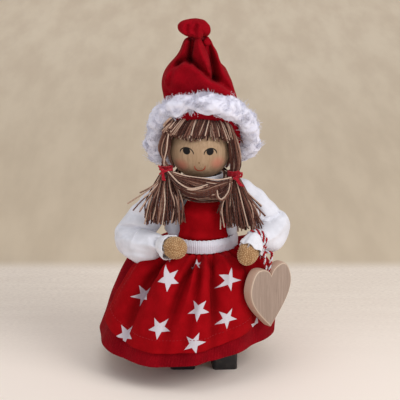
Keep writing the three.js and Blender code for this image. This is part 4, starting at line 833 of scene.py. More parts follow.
def grow(name, source, tree, material, **values):
    """Runs a tree on a source object, keeps the result as a plain mesh and removes the source."""
    group = TREES[tree]
    modifier = source.modifiers.new("grow", "NODES")
    modifier.node_group = group
    values = {key.replace("_", " "): value for key, value in values.items()} | {"Material": material}
    for item in group.interface.items_tree:
        if item.in_out == "INPUT" and item.name in values:
            modifier[item.identifier] = values[item.name]
    graph = bpy.context.evaluated_depsgraph_get()
    graph.update()
    mesh = bpy.data.meshes.new_from_object(source.evaluated_get(graph), depsgraph=graph)
    bpy.data.objects.remove(source)
    mesh.name = name
    return link(bpy.data.objects.new(name, mesh))


def runs_to_curve(name, runs):
    """A curve object with one open spline for each run of points in millimetres."""
    curve = bpy.data.curves.new(name, "CURVE")
    curve.dimensions = "3D"
    for run in runs:
        spline = curve.splines.new("POLY")
        spline.points.add(len(run) - 1)
        flat = np.ones((len(run), 4))
        flat[:, :3] = run * MM + AXIS
        spline.points.foreach_set("co", flat.ravel())
    return link(bpy.data.objects.new(name, curve))


def strands(name, runs, material, thickness, sides=6, seed=1):
    """Yarn along each run."""
    source = runs_to_curve(name + " runs", runs)
    return grow(name, source, "yarn", material, Thickness=thickness * MM, Sides=sides, Seed=seed)


def brown_piece(name, runs, thickness, seed, replaced):
    """A piece of the doll's hair."""
    finish(strands(name, runs, HAIR_YARN, thickness, seed=seed), HAIR_YARN, "doll", (replaced,))


# Finishes

BROWNS = [(0.0, (0.052, 0.015, 0.0105)), (0.46, (0.112, 0.037, 0.024)), (0.63, (0.19, 0.08, 0.054)),
          (0.74, (0.27, 0.14, 0.098)), (0.83, (0.44, 0.28, 0.205)), (1.0, (0.68, 0.50, 0.39))]
HAIR_YARN = yarn("brown mixed yarn", BROWNS, depth=0.35)
RED_YARN = yarn("red wool yarn", [(0.0, (0.34, 0.004, 0.012)), (1.0, (0.52, 0.012, 0.03))], 2.0)
RED_PLY = yarn("red twine ply", [(0.0, (0.42, 0.004, 0.012)), (1.0, (0.50, 0.01, 0.02))], 1.3)
WHITE_PLY = yarn("white twine ply", [(0.0, (0.74, 0.73, 0.78)), (1.0, (0.86, 0.85, 0.9))], 1.3)
WHITE_THREAD = yarn("white sewing thread", [(0.0, (0.72, 0.72, 0.78)), (1.0, (0.88, 0.88, 0.93))], 0.8)
RED_THREAD = yarn("red sewing thread", [(0.0, (0.40, 0.01, 0.02)), (1.0, (0.60, 0.05, 0.06))], 0.8)
DARK_THREAD = yarn("dark red gathering thread", [(0.0, (0.16, 0.002, 0.006)), (1.0, (0.22, 0.003, 0.009))],
                   0.8, sheen=0)
HAT_FELT = felt("red hat felt", (0.315, 0.0018, 0.009), (0.235, 0.0013, 0.006))
SKIRT_FELT = felt("crimson skirt felt", (0.27, 0.0018, 0.0075), (0.195, 0.0011, 0.0055), ribs=True)
WHITE_KNIT = white_knit("white brushed knit")
# The cuffs wear a lighter copy of the blouse knit: painted light that lifts the shade inside the frill.
CUFF_KNIT_PAINTED_LIGHTER = white_knit("white knit of the cuffs", (0.84, 0.84, 0.89))
FUR = fur_white()
# The knit under the loops is darker: painted shade between the loops.
TAN_KNIT_SHADED_BETWEEN_LOOPS = knit_cover("tan knit between loops", (0.32, 0.175, 0.08), (0.40, 0.225, 0.105))
TAN_LOOPS = knit_cover("tan looped knit", (0.50, 0.31, 0.155), (0.66, 0.45, 0.25))
STEEL = wire_steel()
WADDING = wadding_fibre()
BIRCH = birch()


# Skirt and apron

SKIRT_PROFILE = [(0, 0), (0, 0.07), (0, 0.135), (0.12, 0.155), (0.4, 0.19), (0.585, 0.255), (0.745, 0.45),
                 (0.875, 0.69), (0.95, 0.88), (1, 1)]


def hump(angle, middle, width):
    """1 at a place round the doll, falling to 0 beside it. The place and the width are in degrees."""
    away = (angle - np.radians(middle) + math.pi) % TAU - math.pi
    return np.exp(-(away / np.radians(width)) ** 2)


def skirt_skin(angle, share):
    """The felt's outside. Angles are 0 in front and grow to the doll's left. share runs down to the hem."""
    run = smooth_run(SKIRT_PROFILE, share)
    flare, drop = np.maximum(run[..., 0], 0), run[..., 1]
    gather = 3.9 * np.sin(10 * angle + np.sin(2 * angle)) * flare * (1.15 - flare)
    flat = 4.2 * hump(angle, 40, 38) * flare
    radius = WAIST_RADIUS + (HEM_RADIUS - WAIST_RADIUS) * flare + gather - flat
    hem = HEM_HEIGHT - 3.8 * hump(angle, -24, 45) + 1.5 * np.sin(angle)
    return np.stack([-9 * drop * flare + radius * np.sin(angle), -radius * np.cos(angle),
                     SKIRT_TOP + (hem - SKIRT_TOP) * drop], axis=-1)


def skirt_out(angle, share):
    """The felt's outward direction."""
    step = 0.004
    down = skirt_skin(angle, np.minimum(share + step, 1)) - skirt_skin(angle, np.maximum(share - step, 0))
    round_it = skirt_skin(angle + step, share) - skirt_skin(angle - step, share)
    return unit(np.cross(down, round_it))


# Broad folds of the skirt: degrees round to the middle, width in degrees and height in millimetres
SKIRT_FOLDS = [
    (-86, 7, -3.0), (-70, 7, 2.4), (-58, 5, 1.8), (-46, 4.8, -5.2), (-34, 6, 2.6), (-25, 5, 1.8),
    (-15, 3.8, -4.4), (-9, 3, 1.4), (-4, 3, -2.6), (4, 4, 2.8), (13, 4, -5.6), (22, 5, 1.6), (31, 6, 2.2),
    (50, 6, -2.6), (66, 8, 2.2), (100, 9, -2.0), (122, 9, 2.0), (147, 9, -2.2), (172, 10, 2.2),
    (-98, 9, 2.0), (-122, 9, -2.2), (-150, 10, 2.0),
]


def skirt_folds(angle, share):
    """Broad folds of the cloth below the gathers, outwards in millimetres."""
    total = 0
    for degrees, width, height in SKIRT_FOLDS:
        middle = degrees * (1 + 0.06 * (share - 0.6)) + 2.865 * np.sin(9 * share + degrees)
        total = total + height * hump(angle, middle, width * (0.75 + 0.5 * share))
    return total * ease((share - 0.26) / 0.16) * (1 - 0.72 * ease((share - 0.55) / 0.4))


def make_skirt():
    columns = 280
    map_radius = 46
    a, s = np.meshgrid(round_angles(columns), np.linspace(0, 1, 90))
    points = skirt_skin(a, s)
    soft = 0.3 * wander(points, 9, 3) * ease((s - 0.3) / 0.3)
    points = points + skirt_out(a, s) * (skirt_folds(a, s) + soft)[..., None]
    length = lengths_along(points[:, 0])
    from_hem = (length[-1] - length) * MM
    around = map_radius * MM * TAU / columns
    piece = skin("felt_skirt_cloth", points, uv=lambda i, k: (k * around, from_hem[i]), flip=True)
    wall(piece, 1.8)
    bevel(piece, "soft edge", 0.5, 2)
    finish(piece, SKIRT_FELT, "doll", ("felt_skirt",))


# How far down the skirt the apron reaches, and the radius in metres that its thread pattern is laid out on
APRON_LAST_SHARE = 8 / 9
APRON_MAP_RADIUS = 0.04
# Degrees round to the right edge at the waist and the hem, and to the left edge at the waist and the hem
APRON_SIDES = (-47, -77, 66, 84)


def gathers(angle, share):
    """The tight gathers below the waist, outwards in millimetres."""
    waves = 0.5 * (1 + np.sin(31 * angle + 2.2 * np.sin(5 * angle)))
    return waves * ease((share - 0.2) / 0.1) * (1 - ease((share - 0.42) / 0.3))


def apron_skin(angle, share):
    """The cotton over the felt, with gathers at the waist that open into folds, and its outward direction."""
    base = skirt_skin(angle, share)
    below_waist = ease((share - 0.2) / 0.1)[..., None]
    out = unit(skirt_out(angle, share) * below_waist + level_way(angle) * (1 - below_waist))
    lift = 1.0 + gathers(angle, share) + skirt_folds(angle, share) + 0.6 * ease((share - 0.5) / 0.3)
    ripple = 0.22 * wander(base, 7, 8) * ease((share - 0.3) / 0.2)
    corner = 1.6 * hump(angle, -74, 14) * ease((share - 0.55) / 0.3)
    return base + out * (lift + ripple + corner)[..., None], out


def apron_hem_share(angle):
    """How far down the skirt the apron's hem lies, which is shorter at both sides."""
    right = 0.065 * ease((-angle - math.radians(35)) / math.radians(45))
    left = 0.06 * ease((angle - math.radians(8)) / math.radians(55))
    return APRON_LAST_SHARE - right - left


def apron_angles(share, across):
    """The angle of a place across the apron, from its right edge to its left edge."""
    right_top, right_hem, left_top, left_hem = (math.radians(d) for d in APRON_SIDES)
    down = share / APRON_LAST_SHARE
    right = right_top + (right_hem - right_top) * down
    left = left_top + (left_hem - left_top) * down
    return right + (left - right) * across


def cloth_length(share):
    """Length of the cloth from the waist down to a share, in metres."""
    t = np.linspace(0, 1, 200)
    return np.interp(share, t, lengths_along(skirt_skin(0 * t, t)) * MM)


# Stars by where they show in the photograph: pixel across, pixel down, degrees that a tip is turned
STAR_PLACES = [(144, 295.4, -10), (168.5, 279.6, -22), (229.5, 280.2, 20), (198, 310.6, -32),
               (159.4, 328, -27),
               (126, 334.8, -18), (227, 318.5, 32), (193.9, 343.9, 25), (255.7, 326.3, 9),
               (196.5, 262.5, 10)]
# One more star at the left side, not in the photograph: degrees round, millimetres down, degrees turned
SIDE_STAR = (79, 60, 6)
# The stars' radius in millimetres, and its share where the cloth is gathered, down to this length in metres
STAR_RADIUS = 6.5
GATHERED_STAR = 0.6
GATHERED_LENGTH = 0.021


def star_places():
    """Each star: round in radians, down in metres, turn in radians and the cloth's radius there in metres."""
    angles = np.radians(np.linspace(-76, 84, 321))
    shares = np.linspace(0.15, APRON_LAST_SHARE, 240)
    a, s = np.meshgrid(angles, shares)
    points, _ = apron_skin(a, s)
    pixels = photo_pixels(points)
    down = cloth_length(shares)
    # Rows and columns on each side of a star's middle, over which the cloth is measured
    reach = 11

    def span(values, k):
        return values[k + reach] - values[k - reach]

    def kept_inside(k, values):
        return int(np.clip(k, reach, len(values) - 1 - reach))

    def cloth_radius(i, k):
        return float(np.linalg.norm(span(points[i], k)) / span(angles, k)) * MM

    found = []
    for px, py, tip in STAR_PLACES:
        i, k = np.unravel_index(np.argmin(np.linalg.norm(pixels - (px, py), axis=-1)), a.shape)
        i, k = kept_inside(i, shares), kept_inside(k, angles)
        radius = cloth_radius(i, k)
        across = span(pixels[i], k) / (span(angles, k) * radius)
        along = span(pixels[:, k], i) / span(down, i)
        tip_way = [math.sin(math.radians(tip)), -math.cos(math.radians(tip))]
        way = np.linalg.solve(np.stack([across, along], axis=1), tip_way)
        found.append((float(angles[k]), float(down[i]), -math.atan2(way[0], way[1]), radius))
    degrees, drop, turn = SIDE_STAR
    i = int(np.argmin(abs(down - drop * MM)))
    k = kept_inside(np.argmin(abs(angles - math.radians(degrees))), angles)
    found.append((float(angles[k]), float(down[i]), math.radians(turn), cloth_radius(i, k)))
    return found


def make_apron():
    t, across = np.meshgrid(np.linspace(0, 1, 120), np.linspace(0, 1, 250), indexing="ij")
    a = apron_angles(t * APRON_LAST_SHARE, across)
    s = t * apron_hem_share(a)
    points, _ = apron_skin(a, s)
    down = cloth_length(s)
    piece = skin("star_apron_cloth", points, wrap=False, flip=True, uv=lambda i, k: (a[i, k], down[i, k]))
    # Painted shade, marked for the cotton: the fold valleys, and the hollows between the gathers below the
    # ribbon.
    valley_shade_mask = ease(-skirt_folds(a, s) / 4.0)
    between = 1 - ease((gathers(a, s) - 0.05) / 0.25)
    below_ribbon = ease((s - 0.2) / 0.05) * (1 - ease((s - 0.34) / 0.2))
    mark(piece, "crease", np.maximum(valley_shade_mask, 0.5 * between * below_ribbon))
    wall(piece, 0.45)
    finish(piece, cotton("red cotton with printed stars", star_places()), "doll", ("star_apron",))
    hem = np.linspace(0.03, 0.97, 170)
    side = np.linspace(0.3, 0.92, 90)
    runs = []
    for row, where in ((0.92 + 0 * hem, hem), (side, 0.045 + 0 * side), (side, 0.955 + 0 * side)):
        angle = apron_angles(row * APRON_LAST_SHARE, where)
        place, away = apron_skin(angle, row * apron_hem_share(angle))
        runs.append(place + away * 0.03)
    stitches = grow("apron_hem_stitches", runs_to_curve("hem lines", runs), "stitches", RED_THREAD,
                    Step=2.1 * MM, Stitch_length=1.3 * MM, Thickness=0.3 * MM)
    finish(stitches, RED_THREAD, "doll")


# Bodice

def body_radius(height):
    """The turned body's radius, which narrows to the neck."""
    return BODY_RADIUS + (NECK_RADIUS - BODY_RADIUS) * ease((height - 94) / 10)


def make_blouse():
    a, h = np.meshgrid(round_angles(140), np.linspace(70, 115.6, 80))
    out = level_way(a)
    full = ease((h - 77.5) / 4) * ease((100 - h) / 8)
    collar = 1.2 * ease((h - 106) / 6)
    sides = (5.0 - 0.8 * np.sin(a)) * full * ease((abs(np.sin(a)) - 0.7) / 0.3)
    back = 1.4 * full * (np.cos(a) < 0) * np.cos(a) ** 2
    points = out * (body_radius(h) + 1.2 + collar + sides + back)[..., None]
    points[..., 2] = h
    creases = 0.5 * np.sin(9 * a + 0.25 * (h - 90)) * ease((h - 78) / 4) * ease((92 - h)
        / 8) * np.sin(a) ** 2
    soft = 0.45 * wander(points, 6, 11) * ease((h - 80) / 4) * (0.2 + 0.8 * np.sin(a) ** 4)
    points = points + out * (creases + soft)[..., None]
    piece = wall(skin("blouse_cloth", points), 0.6)
    finish(piece, WHITE_KNIT, "doll", ("blouse",))


def make_bib():
    low, high = 77.8, 103
    rows = np.linspace(0, 1, 50)
    across = np.linspace(-1, 1, 70)
    t, c = np.meshgrid(rows, across, indexing="ij")
    height = low + (high - low) * t
    angle = np.arcsin((11.5 - 0.3 * t) / 16.2) * c
    over_ribbon = 1.2 * np.exp(-((height - 82.2) / 1.9) ** 2)
    out = level_way(angle)
    points = out * (body_radius(height) + 2.5 + over_ribbon)[..., None]
    points[..., 2] = height
    sides = 0.35 * (abs(c) > 0.93) + ease((abs(c) - 0.5) / 0.5)
    points = points + out * (0.25 * wander(points, 5, 5) + sides)[..., None]
    half_width, length = 0.014, 0.0252
    piece = skin("bib_cloth", points, wrap=False, uv=lambda i, k: (across[k] * half_width, rows[i] * length))
    wall(piece, 0.6)
    finish(piece, cotton("plain red cotton"), "doll", ("bib",))


RIBBON_WIDTH = 8.0


def make_ribbon():
    columns, height, middle_radius = 220, 7.6, 20.3
    rows = np.linspace(0, 1, 20)
    t, a = np.meshgrid(rows, round_angles(columns), indexing="ij")
    radius = middle_radius + 0.14 * np.sin(7 * a) * (1 - t) - 0.9 * ease((t - 0.55) / 0.45)
    lift = 0.15 * np.sin(3 * a) + 0.14 * np.sin(46 * a) * ease((abs(t - 0.5) - 0.3) / 0.2)
    points = level_way(a) * radius[..., None]
    points[..., 2] = 73.0 + height * t + lift
    step = middle_radius * MM * TAU / columns
    piece = skin("waist_ribbon_band", points, uv=lambda i, k: (k * step, rows[i] * RIBBON_WIDTH * MM))
    wall(piece, 0.55)
    finish(piece, ribbon_cloth(), "doll", ("waist_ribbon",))


# Head, hair and yarn

def make_head():
    ways = np.array([[0, 0, 1], [0, -1, 0], [1, 0, 0]])
    points = egg_grid(HEAD, ways, [HEAD_RADIUS] * 3, 90, 140, 0.002)
    piece = skin("ball_head", points, caps=(True, True), flip=True)
    finish(piece, face_wood(), "doll", ("head_ball",))


def through(points, steps=26):
    """A smooth run of this many points through places."""
    return smooth_run(points, np.linspace(0, 1, steps))


# The fringe in four groups: strands, first root, last root, first end and last end, in the photograph
FRINGE_GROUPS = [
    (66, (177, 119.5), (191, 116), (164, 131), (173, 138.5)),
    (62, (184, 117.5), (202, 115.5), (168, 135), (189, 142)),
    (74, (196, 116), (214, 115.5), (184, 141.5), (207, 140.5)),
    (66, (208, 116), (225, 119.5), (211, 139.5), (238, 144)),
]
FRINGE_LOOPS = [
    ((210, 121), (213, 130), (216, 132), (217.5, 126), (214, 120)),
    ((218, 120), (222, 129), (227, 131), (228, 126), (223, 120)),
    ((206, 119), (203, 130), (199, 137)),
    ((224, 121), (231, 133), (240, 139), (243, 143)),
]
GOLDEN_ANGLE = 2.39996


def on_hair(px, py, lift):
    """A place on the hair over the ball; beside the ball it stands before the hat's lip."""
    beside = ease((203 - px - 26) / 8)
    return on_ball(px, py, lift) * (1 - beside) + at_pixel(px, py, -11.5 - 0.5 * lift / HEAD_RADIUS) * beside


def make_fringe(rng):
    runs = []
    for count, root_a, root_b, end_a, end_b in FRINGE_GROUPS:
        for k in range(count):
            layer = k % 4
            f = min(max((k + rng.uniform(-0.6, 1.4)) / count, 0), 1)
            start = np.array(root_a) * (1 - f) + np.array(root_b) * f - (0, 1.5 * layer)
            scatter = (rng.uniform(-2.2, 2.2), rng.uniform(-3.4, 1.2) - 1.2 * layer)
            end = np.array(end_a) * (1 - f) + np.array(end_b) * f + scatter
            lift = HAIR_INSIDE + 0.5 + 0.75 * layer + rng.uniform(0, 0.3)
            aside = 2.6 * ease((abs(end[0] - 200) - 14) / 16)
            middle = (start + end) / 2 + (rng.uniform(-1.6, 1.6), -1.5)
            first = on_hair(*start, lift) + np.array([0, 3.5, 1.6])
            runs.append(through([first, on_hair(*start, lift + 0.3 + 0.5 * aside),
                                 on_hair(*middle, lift + 0.7 + aside), on_hair(*end, lift + 0.1 + aside)],
                                16))
    for loop in FRINGE_LOOPS:
        lifts = [HAIR_OUTSIDE + 1.2 + 0.3 * (n % 2) for n in range(len(loop))]
        runs.append(through([on_hair(*place, lift) for place, lift in zip(loop, lifts)], 22))
    brown_piece("fringe_strands", runs, 0.72, 3, "fringe")


def make_hair_cap(rng):
    count, radius, face_half_angle = 74, HAIR_INSIDE + 0.6, 1.25
    runs = []
    for k in range(count):
        turn = TAU * (k + rng.uniform(-0.3, 0.3)) / count
        if abs((turn + math.pi) % TAU - math.pi) < face_half_angle:
            continue
        polar = np.linspace(0.25, 2.15, 22)
        side = np.sin(polar) * radius
        runs.append(HEAD + np.stack([side * math.sin(turn), -side * math.cos(turn), radius * np.cos(polar)],
                                    axis=-1))
    brown_piece("hair_cap_strands", runs, 1.5, 5, "hair_cap")


def disc(count, rng):
    """Even places in a unit disc, with a little disorder."""
    k = np.arange(count) + 0.5
    radius, turn = np.sqrt(k / count), k * GOLDEN_ANGLE
    spots = np.stack([radius * np.cos(turn), radius * np.sin(turn)], axis=-1)
    return spots + rng.normal(0, 0.04, spots.shape)


# How far out from the head's middle the side hair lies, at its top and at its middle
BUNCH_REACHES = {"right": (18.2, 20.3), "left": (16.6, 19.3)}


def make_bunch(side, rng):
    sign, tie = SIGNS[side], TIES[side]
    upper_reach, lower_reach = BUNCH_REACHES[side]
    runs = []
    for a, b in disc(56, rng):
        root = np.array([HEAD[0] + sign * (13.5 + 1.6 * a), -3.0 + 2.0 * b, 147.5])
        top = np.array([HEAD[0] + sign * (upper_reach + 2.4 * a), -8.2 + 3.4 * b, 142.0])
        middle = np.array([HEAD[0] + sign * (lower_reach + 3.2 * a), -9.6 + 3.6 * b, (144 + tie[2]) / 2 + 1])
        low = tie + np.array([2.2 * a, 2.0 * b, 1.4])
        stem = 0.4 * middle + 0.6 * low + np.array([0.9 * sign + 0.4 * a, 0, 0])
        wave = rng.normal(0, 0.25, (5, 3)) * [[1], [1], [1], [1], [0.3]]
        runs.append(through(np.array([root, top, middle, stem, low]) + wave))
    brown_piece(f"side_hair_{side}", runs, 0.8, 9 + sign, f"hair_bunch_{side}")


# Loose strands beside the tails: pixel across, pixel down, millimetres before the axis
STRAYS = {
    "right": [[(164, 176, 12), (150, 190, 16), (138, 200, 17), (130, 207, 17)],
              [(163, 176, 12), (152, 185, 15), (140, 191, 15)],
              [(164, 177, 12), (152, 192, 17), (145, 200, 18)],
              [(163, 178, 12), (150, 196, 17), (141, 210, 19)]],
    "left": [[(238, 182, 12), (252, 196, 16), (262, 205, 18)],
             [(237, 182, 12), (250, 200, 17), (264, 216, 19)],
             [(236, 182, 12), (225, 196, 17), (219, 212, 19)]],
}
# How far each tail drifts to the doll's left, spreads and hangs down
TAIL_ENDS = {"right": (-1.5, 11.8, -25.2), "left": (5.0, 11.6, -24.8)}


def make_tail(side, rng):
    sign, tie = SIGNS[side], TIES[side]
    drift, spread, drop = TAIL_ENDS[side]
    runs = []
    for a, b in disc(110, rng):
        top = tie + np.array([1.9 * a, 1.9 * b, 1.8])
        fall = drop - 1.6 + rng.uniform(-1.8, 2.6) + 1.2 * abs(a)
        end = tie + np.array([drift + spread * a, -9.9 + 3.4 * b, fall])
        knee = tie + np.array([drift * 0.28 + spread * 0.56 * a, -3.4 + 3.8 * b, -7.5])
        shin = tie + np.array([drift * 0.68 + spread * 0.9 * a, -8.4 + 3.7 * b, -16])
        wave = rng.normal(0, 0.55, (4, 3)) * [[0.1], [1], [1], [1.5]]
        runs.append(through(np.array([top, knee, shin, end]) + wave, 24))
    for run in STRAYS[side] * 2:
        off = rng.normal(0, 1.3, 2)
        places = [at_pixel(px + off[0] * n / 2, py + off[1] * n / 2, -before)
                  for n, (px, py, before) in enumerate(run)]
        runs.append(through(places, 20))
    # Strands over the sleeve keep clear of it when the arm lifts.
    for run in runs:
        run[:, 1] -= 1.5 * ease((sign * run[:, 0] - 22) / 4)
    piece = strands(f"loose_tail_{side}", runs, HAIR_YARN, 0.78, seed=20 + sign)
    dress(piece, HAIR_YARN)
    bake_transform(piece)
    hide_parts(f"hair_tail_{side}")


def coil(centre, axis, start, radius, turns, pitch, steps=28):
    """Points of a coil round an axis, a number of turns long about its centre."""
    axis = unit(axis)
    aside = unit(np.cross(axis, start))
    first = np.cross(aside, axis)
    t = np.arange(int(turns * steps) + 1) / steps
    angle = t * TAU
    ring = first * np.cos(angle)[:, None] + aside * np.sin(angle)[:, None]
    return centre + axis * ((t - turns / 2) * pitch)[:, None] + radius * ring


# Each tie's loops and ends, as places in the photograph
TIE_RUNS = {
    "right": [[(158.5, 165.5), (161.5, 169.5), (166, 171.5)], [(159.5, 174), (165, 171.5), (172.5, 169.5)],
              [(163, 171), (163.6, 176), (165, 181)], [(162.4, 171), (162.6, 176.5), (163, 180.5)]],
    "left": [[(228.5, 178.5), (235, 178.5), (241, 176.5)],
             [(229, 180), (235, 178), (240, 174), (242.4, 172.8)],
             [(238.6, 171.8), (242, 174.5), (240.5, 177.5)], [(237, 178), (240, 183), (244, 186.6)],
             [(236, 179), (239, 184), (242, 186)]],
}


def make_tie(side):
    upright, forwards = (0, 0, 1), (0, -1, 0)
    runs = [coil(TIES[side] + np.array([0, 0, 2.0]), upright, forwards, 3.1, 3.2, 1.1)]
    for k, run in enumerate(TIE_RUNS[side]):
        places = [at_pixel(px, py, -15.0 - 1.5 * ease(n / 3) - 0.3 * k) for n, (px, py) in enumerate(run)]
        runs.append(through(places))
    knot = at_pixel(*TIE_RUNS[side][0][1], -15.0)
    runs.append(coil(knot, upright, forwards, 0.9, 1.2, 0.6))
    piece = strands(f"red_tie_{side}", runs, RED_YARN, 1.15, 8, seed=2)
    finish(piece, RED_YARN, "doll", (f"hair_tie_{side}",))


# Fans of strands across the wrap: strands, then places as across, down, opening and before the axis
WRAP_FANS = [
    (26, ((169, 170, 8, 14.5), (185, 175.5, 12, 18.3), (203, 178, 18, 20), (219, 180, 17, 19.4),
          (232, 178, 8, 15.5))),
    (16, ((231, 180, 5, 16), (216, 184, 9, 20), (202, 190, 7, 21), (186, 187, 8, 20), (175, 179, 6, 17))),
    (10, ((168, 171, 3, 15.5), (178, 182, 4, 19.3), (192, 188, 3, 21.2), (208, 184, 3, 21.8))),
]
WRAP_LOOPS = [
    [(217, 186, 19.4), (218, 196, 21.4), (222, 199, 21.8), (228, 192, 21.0), (230, 183, 19.5)],
    [(215, 188, 19.4), (217, 198, 21.6), (224, 200, 21.8), (231, 190, 21.0), (231, 182, 19.5)],
    [(218, 184, 19.4), (221, 190, 21.2), (224, 192, 21.6), (228, 187, 20.6), (229, 180, 18.5)],
]


def make_neck_wrap(rng):
    runs = []
    middle_radius, slope = 14, math.tan(math.radians(11))
    turns = np.linspace(0, TAU, 73)
    for k in range(40):
        angle = TAU * k / 30 + 1.3 * np.sin(turns + rng.uniform(0, TAU)) * rng.uniform(0.15, 0.4)
        swell = (1.0 if k < 30 else 0.7) * (1 + 0.05 * np.sin(3 * turns + rng.uniform(0, TAU)))
        radius = middle_radius + 4.3 * swell * np.cos(angle)
        height = 110.2 + 5.0 * swell * np.sin(angle) - slope * middle_radius * np.cos(turns)
        height -= 1.6 * ease(np.sin(turns))
        runs.append(np.stack([radius * np.sin(turns), -radius * np.cos(turns), height], axis=-1))
    for count, places in WRAP_FANS:
        for k in range(count):
            f = (k + rng.uniform(0, 1)) / count
            runs.append(through([at_pixel(px + rng.uniform(-0.8, 0.8),
                                          py + grows * f + rng.uniform(-0.7, 0.7),
                                          -before - rng.uniform(0, 0.8)) for px, py, grows,
                                 before in places], 30))
    for loop in WRAP_LOOPS:
        runs.append(through([at_pixel(px, py, -before) for px, py, before in loop], 30))
    brown_piece("neck_wrap_strands", runs, 0.82, 31, "neck_wrap")


# Hat

# Rings up to the gathering: aside, back and up as shares of the hat's height, then half width, half depth and
# lean as shares of the rim's
HAT_RINGS = [
    (0.004, 0.044, 0.034, 0.89, 0.925, 1), (0.004, 0.046, 0.036, 0.95, 1.02, 1),
    (0.004, 0.055, 0.048, 1, 1.13, 1), (0.004, 0.11, 0.105, 1.05, 1.14, 0.95),
    (0.015, 0.136, 0.215, 0.985, 1.04, 0.76), (0.008, 0.122, 0.35, 0.94, 0.87, 0.47),
    (-0.024, 0.11, 0.49, 0.88, 0.74, 0.23), (-0.046, 0.095, 0.61, 0.705, 0.6, 0.1),
    (-0.024, 0.088, 0.73, 0.47, 0.43, 0), (-0.017, 0.082, 0.825, 0.325, 0.3, 0),
]
# The gathering and the tuft: aside and up as shares of the hat's height, and half width in millimetres
TUFT_RINGS = [
    (-0.02, 0.848, 5.2), (-0.021, 0.858, 4.7), (-0.026, 0.872, 6.6), (-0.036, 0.9, 8.6),
    (-0.042, 0.93, 9.1), (-0.045, 0.958, 8.4), (-0.045, 0.984, 5.8), (-0.044, 0.998, 1.2),
]
TUFT_BACK = 0.082


def hat_rows():
    """Rings from rim to tuft: aside, back and up from the head's middle, half width, half depth and lean."""
    rows = [(aside * HAT_HEIGHT, back * HAT_HEIGHT, up * HAT_HEIGHT, wide * HAT_RIM, deep * HAT_RIM,
             lean * HAT_TILT)
            for aside, back, up, wide, deep, lean in HAT_RINGS]
    for aside, up, wide in TUFT_RINGS:
        deep = wide * (0.8 if up > 0.9 else 1)
        rows.append((aside * HAT_HEIGHT, TUFT_BACK * HAT_HEIGHT, up * HAT_HEIGHT, wide, deep, 0))
    return rows


# Strokes as the sculpt function takes them
HAT_STROKES = [
    # The deep crease below the gathering, the roll beside it and the hollow on the roll's other side
    ([(192.5, 40), (191, 48), (190, 56), (190.5, 61.5)], 3.2, 2.1, -9.0),
    ([(197, 38), (199.3, 48), (202.8, 57), (206.3, 65), (206.5, 70.5), (201, 70.5)], 3.8, 2.6, 3.8),
    ([(205.5, 40), (210, 50), (213, 60), (214.5, 70), (216, 78)], 2.8, 4.2, -9.5),
    ([(216, 78), (224, 85), (233, 93)], 3.0, 4.2, -4.0),
    # The roll down the right-hand side
    ([(209, 40), (217, 54), (223, 68), (231, 82), (238, 96)], 3.4, 5.0, 2.0),
    # The collapsed lower part: a groove over a full, rounded bulge
    ([(177, 65), (184, 60), (192, 61.5), (199, 68), (206, 75), (212, 80)], 2.2, 3.6, -5.4),
    ([(169, 77), (175, 69), (183, 65), (191, 66.5), (198, 72), (207, 80), (218, 86.5), (230, 93)], 9.5, 2.4,
     5.8),
    ([(180, 91), (200, 96), (216, 102)], 5.0, 6.0, -2.4),
    # The left-hand side
    ([(187, 42), (179, 56), (170, 68), (165, 80)], 3.2, 4.5, 3.0),
    ([(178, 63), (172, 72), (169, 84)], 2.4, 3.0, -4.0),
    ([(163, 84), (168, 92), (172, 99)], 2.4, 2.4, -1.8),
    ([(193, 62.5), (199, 68), (205, 71), (210, 68)], 1.4, 1.5, -3.2),
    # The tuft's creases
    ([(196.5, 26), (195, 31), (196, 38)], 2.4, 2.0, -2.4),
    ([(187, 26), (186.5, 31), (188.5, 38)], 2.0, 2.4, -2.2),
    ([(203, 32), (203.5, 37)], 2.0, 2.0, -1.2),
]


def make_hat():
    rise = np.linspace(0, 1, 190)[:, None]
    turn = round_angles(210)[None]
    run = smooth_run(hat_rows(), rise[:, 0])
    aside, back, up, wide, deep, lean = (run[:, k][:, None] for k in range(6))
    s, c = np.sin(turn), np.cos(turn)
    points = np.stack([aside + wide * s, back - deep * c * np.cos(lean), up + deep * c * np.sin(lean)],
                      axis=-1) + HEAD
    out = unit(np.stack([s + 0 * wide, -c * np.cos(lean), c * np.sin(lean)], axis=-1))
    pleats = 0.5 * np.sin(10 * turn + 1.3 * np.sin(2 * turn)) * np.exp(-((rise - 0.56) / 0.07) ** 2)
    tuft = ease((rise - 0.64) / 0.06)
    lobes = 1.3 * np.abs(np.sin(1.5 * turn + 0.4)) ** 0.7 - 1.0 + 0.25 * np.sin(7 * turn)
    soft = 0.45 * wander(points, 13, 21) * ease(rise / 0.12) * (1 - tuft)
    points = points + out * (pleats + lobes * tuft * ease((1.02 - rise) / 0.1) + soft)[..., None]
    before = points[..., 1]
    points = sculpt(points, out, HAT_STROKES)
    hollow = points[..., 1] - before
    behind = [([(IMAGE_PIXELS - x, y) for x, y in reversed(run)], right, left, 0.8 * height)
              for run, right, left, height in HAT_STROKES]
    points = sculpt(points, out, behind, front=(0.2, 1.0))
    piece = skin("felt_hat", points, caps=(False, True))
    # Painted shade, marked for the felt: the hollows that the sculpt pushed in.
    mark(piece, "crease", ease((hollow - 1.2) / 5))
    wall(piece, 1.2)
    smooth = piece.modifiers.new("soften", "SMOOTH")
    smooth.iterations, smooth.factor = 3, 0.5
    finish(piece, HAT_FELT, "doll", ("hat",))

    centre = HEAD + np.array([-0.021, TUFT_BACK, 0.852]) * HAT_HEIGHT
    wrap = coil(centre, (0, 0, 1), (0, 1, 0), 4.1, 2.6, 0.6)
    thread = strands("hat_thread", [wrap], DARK_THREAD, 0.6, 8, seed=4)
    finish(thread, DARK_THREAD, "doll", ("hat_gather_thread",))


